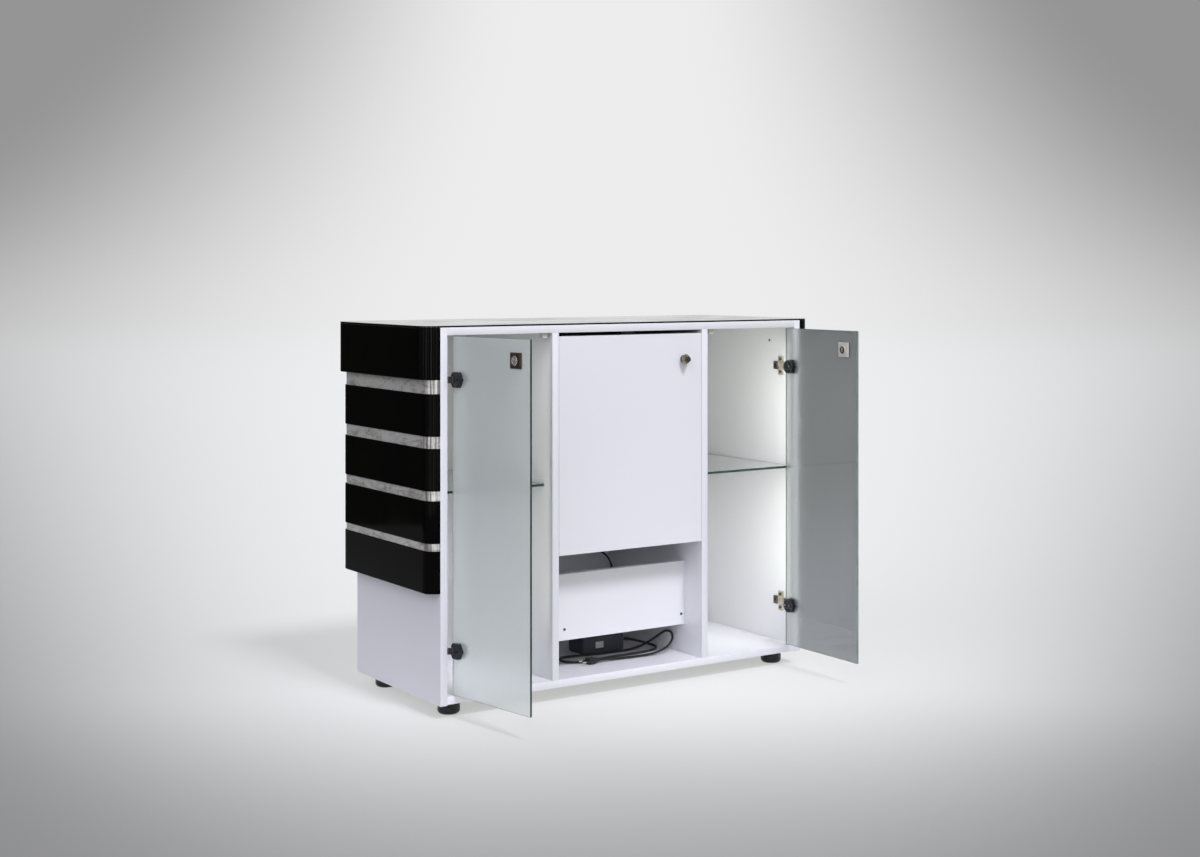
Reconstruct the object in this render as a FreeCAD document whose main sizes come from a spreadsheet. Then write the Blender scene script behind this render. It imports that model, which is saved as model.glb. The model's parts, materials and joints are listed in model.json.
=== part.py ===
import FreeCAD, Part
import math
import os
import re

import Sketcher

# A free-standing bar cabinet, seen from the side where the barkeeper stands.
# X runs to the right along that side, Y runs back towards the guests, Z is up, the floor is Z = 0.
# All sizes are millimetres, all angles degrees.

DRIVING_SIZES = {
    # white carcass
    "carcass_width": 1070,
    "carcass_depth": 430,
    "side_height": 868,
    "board_thick": 18,
    "centre_bay_width": 428,
    "floor_gap": 32,
    "bottom_raise": 2,
    "public_panel_thick": 12,
    "dowel_radius": 4,
    "dowel_length": 30,
    "dowel_inset": 70,
    # black top and bands with bright strips between them
    "top_plate_thick": 4,
    "top_band_thick": 42,
    "top_band_height": 120,
    "band_thick": 30,
    "band_height": 98,
    "band_ease": 1.6,
    "strip_recess": 3,
    "strip_sheet": 1.5,
    "first_gap": 32,
    "gap_step": 5,
    # feet
    "foot_radius": 26.5,
    "foot_round": 9,
    "foot_side_inset": 52,
    "foot_front_inset": 55,
    "foot_rear_inset": 55,
    "foot_screw_radius": 3,
    "foot_screw_bite": 12,
    "foot_screw_head_radius": 7,
    "foot_screw_head_depth": 4,
    "foot_screw_sink": 14,
    # glass shelves on pins
    "shelf_thick": 6,
    "shelf_level": 481,
    "shelf_side_gap": 1.5,
    "shelf_rear_gap": 2,
    "left_shelf_setback": 36,
    "right_shelf_setback": 12,
    "shelf_pin_radius": 2.5,
    "shelf_pin_reach": 9,
    "shelf_pin_bite": 9,
    "shelf_pin_inset": 55,
    # frosted glass doors
    "glass_thick": 5,
    "glass_setback": 1,
    "door_edge_gap": 2,
    "door_hinge_gap": 2.5,
    "left_open_angle": 82,
    "right_open_angle": 89,
    "plate_side": 36,
    "plate_inset": 48,
    "outer_plate_thick": 4.5,
    "inner_plate_thick": 5,
    "plate_boss_radius": 11,
    "plate_boss_height": 1.5,
    # door hinges
    "pivot_side_gap": 13,
    "pivot_forward": 5,
    "upper_hinge_drop": 120,
    "lower_hinge_level": 126,
    "cap_radius": 18,
    "cap_corner": 4,
    "cap_thick": 10,
    "cap_ease": 1.5,
    "cap_socket_radius": 3,
    "cap_socket_depth": 2.5,
    "cap_from_edge": 21,
    "glass_hole_radius": 13,
    "spigot_gap": 0.3,
    "ring_radius": 17.5,
    "ring_thick": 10,
    "ring_bore_radius": 5,
    "hinge_pin_radius": 2.5,
    "pin_running_gap": 0.05,
    "knuckle_radius": 4.5,
    "arm_thick": 1.8,
    "arm_height": 15,
    "arm_slot_gap": 0.5,
    "slot_overrun": 1,
    "arm_reach": 72,
    "plate_wing_height": 50,
    "plate_wing_depth": 18,
    "plate_wing_setback": 43,
    "plate_thick": 4,
    "tongue_height": 19,
    "tongue_start": 38,
    "hinge_screw_radius": 1.75,
    "hinge_screw_head_radius": 3.8,
    "hinge_screw_head": 1.6,
    "hinge_screw_bite": 10,
    "hinge_screw_spread": 17,
    "stop_side": 14,
    "stop_height": 12,
    "stop_side_gap": 10,
    # fold out shelf with its pivots, quadrant stays and knob
    "flap_bottom": 316,
    "flap_top_gap": 9,
    "flap_thick": 18,
    "flap_side_gap": 1,
    "flap_pin_radius": 4,
    "flap_pin_grip": 20,
    "flap_bush_radius": 7,
    "flap_bush_depth": 12,
    "floor_front_gap": 0.8,
    "stay_radius": 160,
    "stay_width": 14,
    "stay_thick": 4,
    "stay_side_gap": 9,
    "stay_flange_height": 44,
    "stay_flange_width": 16,
    "stay_flange_thick": 2.5,
    "stay_tail_angle": 12,
    "guide_angle": 79,
    "guide_height": 30,
    "guide_depth": 24,
    "guide_wall": 3,
    "guide_gap": 0.4,
    "stay_slot_gap": 2,
    "flap_stop_depth": 14,
    "flap_stop_width": 40,
    "flap_stop_drop": 22,
    "knob_side_inset": 57,
    "knob_top_inset": 64,
    "knob_radius": 12.5,
    "knob_length": 16,
    "knob_neck_radius": 6.5,
    "knob_neck_length": 4,
    "knob_end_radius": 7.5,
    "knob_end_length": 8,
    "knob_screw_radius": 2,
    "knob_screw_head_radius": 5,
    "knob_screw_head": 2.5,
    # niche with its cover panel
    "cover_setback": 75,
    "cover_bottom": 94,
    "cover_height": 162,
    "cleat_depth": 20,
    "cleat_height": 30,
    "cover_screw_side_inset": 64,
    "cover_screw_far_inset": 10,
    "cover_screw_level": 121,
    "cover_screw_radius": 2,
    "cover_screw_head_radius": 4.5,
    "cover_screw_head": 2,
    "cover_screw_bite": 14,
    # lamp, power supply and leads
    "supply_width": 128,
    "supply_depth": 72,
    "supply_height": 44,
    "supply_ease": 7,
    "supply_inset": 194,
    "supply_setback": 190,
    "lead_radius": 3,
    "plug_length": 38,
    "plug_width": 26,
    "plug_height": 16,
    "plug_ease": 5,
    "plug_pin_radius": 2,
    "plug_pin_length": 19,
    "plug_pin_spread": 18,
    "lamp_lead_radius": 2.5,
    "lamp_lead_bend": 15,
    "grommet_wall_gap": 13,
    "grommet_radius": 9,
    "grommet_flange_radius": 12,
    "grommet_flange": 2,
    "lamp_length": 260,
    "lamp_depth": 24,
    "lamp_height": 12,
    "lamp_setback": 240,
    "lamp_clip_width": 8,
    "lamp_clip_wall": 2,
}

DERIVED_SIZES = {
    "left_x": "-carcass_width / 2",
    "right_x": "carcass_width / 2",
    "side_bay_width": "(carcass_width - 4 * board_thick - centre_bay_width) / 2",
    "centre_left_x": "-centre_bay_width / 2",
    "centre_right_x": "centre_bay_width / 2",
    "door_width": "side_bay_width - door_hinge_gap - door_edge_gap",
    "glass_edge": "door_hinge_gap - pivot_side_gap",
    "glass_reach": "glass_edge + door_width",
    "glass_face": "pivot_forward + glass_setback",
    "door_front_reach": "pivot_forward + glass_reach * sin(right_open_angle * 1 deg)"
                        " - glass_face * cos(right_open_angle * 1 deg)",
    "front_y": "(door_front_reach - carcass_depth - top_band_thick) / 2",
    "rear_y": "front_y + carcass_depth",
    "side_base_z": "floor_gap",
    "side_top_z": "floor_gap + side_height",
    "bottom_z": "floor_gap + bottom_raise",
    "bay_floor_z": "bottom_z + board_thick",
    "bay_top_z": "side_top_z - board_thick",
    "bay_height": "bay_top_z - bay_floor_z",
    "bay_depth": "carcass_depth - public_panel_thick",
    "door_base_z": "bay_floor_z + door_edge_gap",
    "door_height": "bay_height - 2 * door_edge_gap",
    "cap_x": "glass_edge + cap_from_edge",
    "cap_reach": "cap_radius * 2 / sqrt(3)",
    "shelf_z": "side_base_z + shelf_level",
    "flap_z": "side_base_z + flap_bottom",
    "flap_height": "bay_top_z - flap_top_gap - flap_z",
    "flap_axis_y": "front_y + flap_thick / 2",
    "flap_axis_z": "flap_z + flap_thick / 2",
    "compartment_front_y": "flap_axis_y + flap_thick / 2 * sqrt(2) + floor_front_gap",
    "compartment_depth": "rear_y - public_panel_thick - compartment_front_y",
    "cover_y": "front_y + cover_setback",
    "grommet_setback": "bay_depth - grommet_wall_gap",
    "cleat_y": "cover_y + board_thick",
    "supply_x": "centre_left_x + supply_inset",
    "supply_y": "front_y + supply_setback",
    "knob_x": "centre_right_x - flap_side_gap - knob_side_inset",
    "knob_z": "flap_z + flap_height - knob_top_inset",
}

doc = FreeCAD.newDocument("bar_cabinet")
sheet = doc.addObject("Spreadsheet::Sheet", "Sizes")


def fill_sheet():
    row = 1
    for name, value in DRIVING_SIZES.items():
        sheet.set(f"A{row}", name)
        sheet.set(f"B{row}", str(value))
        sheet.setAlias(f"B{row}", name)
        row += 1
    doc.recompute()
    for name, formula in DERIVED_SIZES.items():
        sheet.set(f"A{row}", name)
        sheet.set(f"B{row}", "=" + formula)
        sheet.setAlias(f"B{row}", name)
        doc.recompute()
        row += 1


fill_sheet()
ALIASES = set(DRIVING_SIZES) | set(DERIVED_SIZES)
NODES = {}


def bound(text):
    """The expression with every size name pointed at the sheet."""
    return re.sub(r"[a-z_]+", lambda word: f"Sizes.{word[0]}" if word[0] in ALIASES else word[0], str(text))


def size(text):
    """The present value of an expression, in millimetres."""
    return float(sheet.evalExpression(bound(text)))


def bind(thing, **sizes):
    for name, text in sizes.items():
        thing.setExpression(name, bound(text))


def place(thing, x=0, y=0, z=0):
    for axis, text in zip("xyz", (x, y, z)):
        thing.setExpression(f"Placement.Base.{axis}", bound(text))


def node(thing, label):
    thing.Label = label
    NODES[label] = thing
    return thing


def box(name, corner, sizes):
    thing = doc.addObject("Part::Box", name)
    bind(thing, Length=sizes[0], Width=sizes[1], Height=sizes[2])
    place(thing, *corner)
    return thing


AXIS_TURNS = {
    "x": FreeCAD.Rotation(FreeCAD.Vector(0, 1, 0), 90),
    "y": FreeCAD.Rotation(FreeCAD.Vector(1, 0, 0), -90),
    "z": FreeCAD.Rotation(),
}


def rod(name, foot, radius, length, axis="z"):
    """A round bar from its foot along +X, +Y or +Z."""
    thing = doc.addObject("Part::Cylinder", name)
    thing.Placement = FreeCAD.Placement(FreeCAD.Vector(), AXIS_TURNS[axis])
    bind(thing, Radius=radius, Height=length)
    place(thing, *foot)
    return thing


def six_sided(name, foot, reach, length):
    """A six-sided bar from its foot along +Y, its corners reaching out along X."""
    thing = doc.addObject("Part::Prism", name)
    thing.Polygon = 6
    thing.Placement = FreeCAD.Placement(FreeCAD.Vector(), AXIS_TURNS["y"])
    bind(thing, Circumradius=reach, Height=length)
    place(thing, *foot)
    return thing


def group(name, things):
    thing = doc.addObject("Part::Compound", name)
    thing.Links = things
    return thing


def fuse(name, things):
    thing = doc.addObject("Part::MultiFuse", name)
    thing.Shapes = things
    thing.Refine = True
    return thing


def cut(name, base, tool):
    thing = doc.addObject("Part::Cut", name)
    thing.Base = base
    thing.Tool = tool
    return thing


def common(name, base, tool):
    thing = doc.addObject("Part::Common", name)
    thing.Base = base
    thing.Tool = tool
    return thing


def ease(name, base, radius, chosen):
    """Round the edges that chosen(edge) accepts."""
    doc.recompute()
    thing = doc.addObject("Part::Fillet", name)
    thing.Base = base
    edges = base.Shape.Edges
    picked = [number for number, edge in enumerate(edges, 1) if chosen(edge)]
    thing.Edges = [(number, size(radius), size(radius)) for number in picked]
    return thing


def arc_between(start, centre, end):
    """An arc drawn anticlockwise, and whether it starts at start."""
    first = math.atan2(start.y - centre.y, start.x - centre.x)
    last = math.atan2(end.y - centre.y, end.x - centre.x)
    forward = (last - first) % (2 * math.pi) < math.pi
    if not forward:
        first, last = last, first
    circle = Part.Circle(centre, FreeCAD.Vector(0, 0, 1), (start - centre).Length)
    return Part.ArcOfCircle(circle, first, first + (last - first) % (2 * math.pi)), forward


def profile(body, plane, points, arcs):
    """A closed sketch through points; arcs gives the centre and radius of each segment that is round."""
    sketch = body.newObject("Sketcher::SketchObject", body.Name + "_sketch")
    origin_plane = next(item for item in body.Origin.OriginFeatures if item.Role == plane)
    sketch.AttachmentSupport = [(origin_plane, "")]
    sketch.MapMode = "FlatFace"
    places = [FreeCAD.Vector(size(x), size(y), 0) for x, y in points]
    ends = []
    for number, start in enumerate(places):
        end = places[(number + 1) % len(places)]
        if number in arcs:
            centre_x, centre_y, radius = arcs[number]
            arc, forward = arc_between(start, FreeCAD.Vector(size(centre_x), size(centre_y), 0), end)
            curve = sketch.addGeometry(arc)
            ends.append((curve, 1, 2) if forward else (curve, 2, 1))
        else:
            ends.append((sketch.addGeometry(Part.LineSegment(start, end)), 1, 2))
    for number, (curve, start_end, _) in enumerate(ends):
        before, _, before_end = ends[number - 1]
        sketch.addConstraint(Sketcher.Constraint("Coincident", before, before_end, curve, start_end))
        for kind, text in zip(("DistanceX", "DistanceY"), points[number]):
            here = sketch.addConstraint(Sketcher.Constraint(kind, -1, 1, curve, start_end, size(text)))
            sketch.setExpression(f"Constraints[{here}]", bound(text))
        if number in arcs:
            radius = arcs[number][2]
            here = sketch.addConstraint(Sketcher.Constraint("Radius", curve, size(radius)))
            sketch.setExpression(f"Constraints[{here}]", bound(radius))
    return sketch


def pad(body, sketch, height):
    thing = body.newObject("PartDesign::Pad", body.Name + "_pad")
    thing.Profile = sketch
    bind(thing, Length=height)
    sketch.Visibility = False
    return thing


def turned(name, points, arcs):
    """A body of revolution about its own Z axis; points are (radius, height)."""
    body = doc.addObject("PartDesign::Body", name)
    sketch = profile(body, "XZ_Plane", points, arcs)
    thing = body.newObject("PartDesign::Revolution", name + "_turned")
    thing.Profile = sketch
    thing.ReferenceAxis = (sketch, ["V_Axis"])
    thing.Angle = 360
    return body


def mirrored(side, low, width="0"):
    """The lower X of a piece that starts at low and is width wide on the left, or its mirror image."""
    return f"{low}" if side == "left" else f"-(({low}) + ({width}))"


SIDES = ("left", "right")
# Two places closer than this are one place
SAME = 1e-6


# White carcass boards and the dowels that join them

def dowel_rows():
    """Dowels from the side panels into top and bottom boards, and from those into the dividers."""
    dowels = []
    rows = ("front_y + dowel_inset", "rear_y - public_panel_thick - dowel_inset")
    board_levels = {"bottom": "bottom_z + board_thick / 2", "top": "bay_top_z + board_thick / 2"}
    for side in SIDES:
        for row_number, row in enumerate(rows):
            for level, z in board_levels.items():
                x = mirrored(side, "left_x + board_thick - dowel_length / 2", "dowel_length")
                name = f"dowel_{side}_{level}_{row_number}"
                dowels.append(rod(name, (x, row, z), "dowel_radius", "dowel_length", "x"))
            x = mirrored(side, "centre_left_x - board_thick / 2")
            bite = "(board_thick - dowel_radius)"
            ends = {"foot": f"bay_floor_z - {bite}", "head": f"bay_top_z + {bite} - dowel_length"}
            for end, z in ends.items():
                name = f"dowel_{side}_{end}_{row_number}"
                dowels.append(rod(name, (x, row, z), "dowel_radius", "dowel_length"))
    return dowels


def carcass(fixings):
    """The boards, each bored for the fixings that go into it."""
    inner_width = "carcass_width - 2 * board_thick"
    inner_left = "left_x + board_thick"
    for side in SIDES:
        x = mirrored(side, "left_x", "board_thick")
        side_sizes = ("board_thick", "carcass_depth", "side_height")
        raw = box(f"{side}_side_raw", (x, "front_y", "side_base_z"), side_sizes)
        node(cut(f"{side}_side_cut", raw, fixings[f"{side}_side"]), f"{side}_side_panel")
        x = mirrored(side, "centre_left_x - board_thick", "board_thick")
        divider_sizes = ("board_thick", "bay_depth", "bay_height")
        raw = box(f"{side}_divider_raw", (x, "front_y", "bay_floor_z"), divider_sizes)
        node(cut(f"{side}_divider_cut", raw, fixings[f"{side}_divider"]), f"{side}_divider")
    lying_sizes = (inner_width, "carcass_depth", "board_thick")
    raw = box("bottom_raw", (inner_left, "front_y", "bottom_z"), lying_sizes)
    node(cut("bottom_cut", raw, fixings["bottom"]), "bottom_board")
    raw = box("top_raw", (inner_left, "front_y", "bay_top_z"), lying_sizes)
    node(cut("top_cut", raw, fixings["top"]), "top_board")
    rear = (inner_left, "rear_y - public_panel_thick", "bay_floor_z")
    node(box("rear_raw", rear, (inner_width, "public_panel_thick", "bay_height")), "public_side_panel")


# Black top, black bands and bright strips

def outline_points(thick):
    """From the left front corner of the carcass round its far side to the right front corner."""
    points = [
        ("left_x", "front_y"),
        (f"left_x - {thick}", f"front_y + {thick}"),
        (f"left_x - {thick}", "rear_y"),
        ("left_x", f"rear_y + {thick}"),
        ("right_x", f"rear_y + {thick}"),
        (f"right_x + {thick}", "rear_y"),
        (f"right_x + {thick}", f"front_y + {thick}"),
        ("right_x", "front_y"),
    ]
    arcs = {
        0: ("left_x", f"front_y + {thick}", thick),
        2: ("left_x", "rear_y", thick),
        4: ("right_x", "rear_y", thick),
        6: ("right_x", f"front_y + {thick}", thick),
    }
    return points, arcs


def on_carcass(edge):
    """Whether an edge runs along the carcass, where the band is glued to it."""
    middle = edge.valueAt((edge.FirstParameter + edge.LastParameter) / 2)
    return abs(middle.x) < size("right_x + band_ease") and middle.y < size("rear_y + band_ease")


def band(label, thick, low_z, height):
    """A U-shaped band round the far three sides of the carcass, its rims eased."""
    body = doc.addObject("PartDesign::Body", label)
    points, arcs = outline_points(thick)
    points = points + [("right_x", "rear_y"), ("left_x", "rear_y")]
    last = pad(body, profile(body, "XY_Plane", points, arcs), height)
    doc.recompute()
    rims = []
    for number, edge in enumerate(last.Shape.Edges, 1):
        level = edge.BoundBox.ZLength < SAME
        if level and not on_carcass(edge):
            rims.append(f"Edge{number}")
    rounding = body.newObject("PartDesign::Fillet", label + "_ease")
    rounding.Base = (last, rims)
    bind(rounding, Radius="band_ease")
    body.Tip = rounding
    place(body, 0, 0, low_z)
    node(body, label)


def strip(label, low_z, height):
    """A bright sheet bent round the same three sides, held between two bands."""
    body = doc.addObject("PartDesign::Body", label)
    thick = "(band_thick - strip_recess)"
    inner = f"({thick} - strip_sheet)"
    outer_points, arcs = outline_points(thick)
    inner_points = [
        ("right_x", "front_y + strip_sheet"),
        (f"right_x + {inner}", f"front_y + {thick}"),
        (f"right_x + {inner}", "rear_y"),
        ("right_x", f"rear_y + {inner}"),
        ("left_x", f"rear_y + {inner}"),
        (f"left_x - {inner}", "rear_y"),
        (f"left_x - {inner}", f"front_y + {thick}"),
        ("left_x", "front_y + strip_sheet"),
    ]
    first_inner = len(outer_points)
    last_arc = max(arcs)
    for segment, (centre_x, centre_y, _) in list(arcs.items()):
        arcs[first_inner + last_arc - segment] = (centre_x, centre_y, inner)
    pad(body, profile(body, "XY_Plane", outer_points + inner_points, arcs), height)
    place(body, 0, 0, low_z)
    node(body, label)


def bands():
    low = "side_top_z - top_band_height"
    band("top_band", "top_band_thick", low, "top_band_height")
    for number in range(4):
        gap = f"(first_gap - {number} * gap_step)"
        low = f"{low} - {gap}"
        strip(f"chrome_strip_{number + 1}", low, gap)
        low = f"{low} - band_height"
        band(f"band_{number + 2}", "band_thick", low, "band_height")
    body = doc.addObject("PartDesign::Body", "top_plate")
    points, arcs = outline_points("top_band_thick")
    pad(body, profile(body, "XY_Plane", points, arcs), "top_plate_thick")
    place(body, 0, 0, "side_top_z")
    node(body, "top_plate")


# Feet

def feet():
    """Four turned feet, each held up into the bottom board by a screw; gives the screws."""
    height = "bottom_z"
    blanks = []
    screws = []
    for side in SIDES:
        for end, y in (("front", "front_y + foot_front_inset"), ("rear", "rear_y - foot_rear_inset")):
            x = mirrored(side, "left_x + foot_side_inset")
            points = [
                ("0", "0"),
                ("foot_radius - foot_round", "0"),
                ("foot_radius", "foot_round"),
                ("foot_radius", height),
                ("0", height),
            ]
            arcs = {1: ("foot_radius - foot_round", "foot_round", "foot_round")}
            blank = turned(f"foot_{side}_{end}", points, arcs)
            place(blank, x, y, 0)
            shank_base = "foot_screw_sink + foot_screw_head_depth"
            shank_length = f"bottom_z + foot_screw_bite - ({shank_base})"
            shank = rod(f"foot_shank_{side}_{end}", (x, y, shank_base), "foot_screw_radius", shank_length)
            head = rod(f"foot_head_{side}_{end}", (x, y, "foot_screw_sink"), "foot_screw_head_radius",
                       "foot_screw_head_depth")
            screw = fuse(f"foot_screw_{side}_{end}", [head, shank])
            well = rod(f"foot_well_{side}_{end}", (x, y, 0), "foot_screw_head_radius", "foot_screw_sink")
            bored = cut(f"foot_bored_{side}_{end}", blank, group(f"foot_tools_{side}_{end}", [screw, well]))
            blanks.append(bored)
            screws.append(screw)
    node(group("feet_group", blanks), "feet")
    return node(group("foot_screw_group", screws), "foot_screws")


# Glass shelves

def shelves():
    """A glass shelf in each side bay on four pins; gives the pins by the board that holds them."""
    holders = {f"{side}_{board}": [] for side in SIDES for board in ("side", "divider")}
    for side in SIDES:
        setback = f"{side}_shelf_setback"
        width = "side_bay_width - 2 * shelf_side_gap"
        depth = f"bay_depth - {setback} - shelf_rear_gap"
        x = mirrored(side, "left_x + board_thick + shelf_side_gap", width)
        node(box(f"{side}_shelf_raw", (x, f"front_y + {setback}", "shelf_z"), (width, depth, "shelf_thick")),
             f"{side}_glass_shelf")
        rows = (f"front_y + {setback} + shelf_pin_inset", "rear_y - public_panel_thick - shelf_pin_inset")
        length = "shelf_pin_bite + shelf_pin_reach"
        for row_number, y in enumerate(rows):
            for board, low in (("side", "left_x + board_thick - shelf_pin_bite"),
                               ("divider", "left_x + board_thick + side_bay_width - shelf_pin_reach")):
                foot = (mirrored(side, low, length), y, "shelf_z - shelf_pin_radius")
                pin = rod(f"shelf_pin_{side}_{board}_{row_number}", foot, "shelf_pin_radius", length, "x")
                holders[f"{side}_{board}"].append(pin)
    node(group("shelf_pin_group", [pin for pins in holders.values() for pin in pins]), "shelf_pins")
    return holders


# Frosted glass doors; a door's own origin is on its pivot, X towards its free edge

HINGE_LEVELS = {"upper": "side_top_z - upper_hinge_drop", "lower": "side_base_z + lower_hinge_level"}
PIVOT_X = "left_x + board_thick + pivot_side_gap"
PIVOT_Y = "front_y - pivot_forward"


def hang(name, side, things, label):
    """Put finished door pieces on their pivot, turned to where the door stands open."""
    thing = group(name, things)
    up = FreeCAD.Vector(0, 0, -1 if side == "left" else 1)
    angle = f"{side}_open_angle"
    thing.Placement = FreeCAD.Placement(FreeCAD.Vector(), FreeCAD.Rotation(up, size(angle)))
    thing.setExpression("Placement.Rotation.Angle", bound(f"{angle} * 1 deg"))
    place(thing, mirrored(side, PIVOT_X), PIVOT_Y, 0)
    return node(thing, label)


def door_glass(side):
    x = mirrored(side, "glass_edge", "door_width")
    pane = box(f"{side}_pane", (x, "glass_face", "door_base_z"), ("door_width", "glass_thick", "door_height"))
    holes = []
    for level, z in HINGE_LEVELS.items():
        foot = (mirrored(side, "cap_x"), "glass_face", z)
        holes.append(rod(f"{side}_{level}_glass_hole", foot, "glass_hole_radius", "glass_thick", "y"))
    drilled = cut(f"{side}_pane_drilled", pane, group(f"{side}_pane_holes", holes))
    hang(f"{side}_glass_hung", side, [drilled], f"{side}_door_glass")


def hinge_cap(side, level, z):
    """Six-sided outer cap with its spigot through the glass, slotted for the arm and bored for the pin."""
    name = f"{side}_{level}_cap"
    x = mirrored(side, "cap_x")
    raw = six_sided(name + "_raw", (x, "glass_face - cap_thick", z), "cap_reach", "cap_thick")
    cornered = ease(name + "_cornered", raw, "cap_corner", lambda edge: edge.BoundBox.YLength > SAME)
    front_y = size("glass_face - cap_thick")
    eased = ease(name + "_eased", cornered, "cap_ease",
                 lambda edge: abs(edge.CenterOfMass.y - front_y) < SAME)
    spigot = rod(name + "_spigot", (x, "glass_face", z), "glass_hole_radius - spigot_gap", "glass_thick", "y")
    solid = fuse(name + "_solid", [eased, spigot])
    slot_reach = "cap_reach - cap_x + slot_overrun"
    slot_end = "knuckle_radius + arm_slot_gap"
    slot_width = f"({slot_reach}) + {slot_end}"
    half = "(arm_height / 2 + arm_slot_gap)"
    slot_x = mirrored(side, f"-({slot_reach})", slot_width)
    slot_y = "glass_face - cap_thick - slot_overrun"
    slot_sizes = (slot_width, f"glass_face - ({slot_y})", f"2 * {half}")
    slot = box(name + "_slot", (slot_x, slot_y, f"{z} - {half}"), slot_sizes)
    bore_half = "sqrt(cap_radius ^ 2 - cap_x ^ 2)"
    bore_radius = "hinge_pin_radius + pin_running_gap"
    bore = rod(name + "_bore", (0, 0, f"{z} - {bore_half}"), bore_radius, f"2 * {bore_half}")
    socket_x = mirrored(side, "cap_x + cap_radius / 2")
    socket_y = "glass_face - cap_thick"
    socket = rod(name + "_socket", (socket_x, socket_y, z), "cap_socket_radius", "cap_socket_depth", "y")
    return cut(name, solid, group(name + "_tools", [slot, bore, socket]))


def hinge_ring(side, level, z):
    """Inner clamping ring with its screw well and a notch on the hinge side."""
    name = f"{side}_{level}_ring"
    x = mirrored(side, "cap_x")
    y = "glass_face + glass_thick"
    disc = rod(name + "_disc", (x, y, z), "ring_radius", "ring_thick", "y")
    well = rod(name + "_well", (x, f"{y} + ring_thick / 2", z), "ring_bore_radius", "ring_thick / 2", "y")
    notch_width = "ring_radius / 2"
    notch_x = mirrored(side, "cap_x - ring_radius", notch_width)
    notch_z = f"{z} - ring_bore_radius / 2"
    notch = box(name + "_notch", (notch_x, f"{y} + ring_thick / 2", notch_z),
                (notch_width, "ring_thick / 2", "ring_bore_radius"))
    return cut(name, disc, group(name + "_tools", [well, notch]))


def corner_plate(side, place_name, back_y, thick, boss_y):
    """A square plate at the free top corner of a door with a round boss in its middle."""
    name = f"{side}_{place_name}_plate"
    x = mirrored(side, "glass_reach - plate_inset - plate_side / 2", "plate_side")
    z = "door_base_z + door_height - plate_inset - plate_side / 2"
    square = box(name + "_square", (x, back_y, z), ("plate_side", thick, "plate_side"))
    glass_middle = size("glass_face + glass_thick / 2")
    rim_reach = size(f"glass_thick / 2 + {thick} / 2")
    upright = ease(name + "_eased", square, f"{thick} / 3",
                   lambda edge: abs(edge.CenterOfMass.y - glass_middle) > rim_reach)
    boss = rod(name + "_boss", (mirrored(side, "glass_reach - plate_inset"), boss_y, f"{z} + plate_side / 2"),
               "plate_boss_radius", "plate_boss_height", "y")
    return fuse(name, [upright, boss])


def doors():
    for side in SIDES:
        door_glass(side)
        caps = [hinge_cap(side, level, z) for level, z in HINGE_LEVELS.items()]
        hang(f"{side}_caps_hung", side, caps, f"{side}_hinge_caps")
        rings = [hinge_ring(side, level, z) for level, z in HINGE_LEVELS.items()]
        hang(f"{side}_rings_hung", side, rings, f"{side}_hinge_rings")
        outer = corner_plate(side, "outer", "glass_face - outer_plate_thick", "outer_plate_thick",
                             "glass_face - outer_plate_thick - plate_boss_height")
        hang(f"{side}_outer_plate_hung", side, [outer], f"{side}_outer_plate")
        inner = corner_plate(side, "inner", "glass_face + glass_thick", "inner_plate_thick",
                             "glass_face + glass_thick + inner_plate_thick")
        hang(f"{side}_inner_plate_hung", side, [inner], f"{side}_inner_plate")


# Door hinges on the carcass

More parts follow.
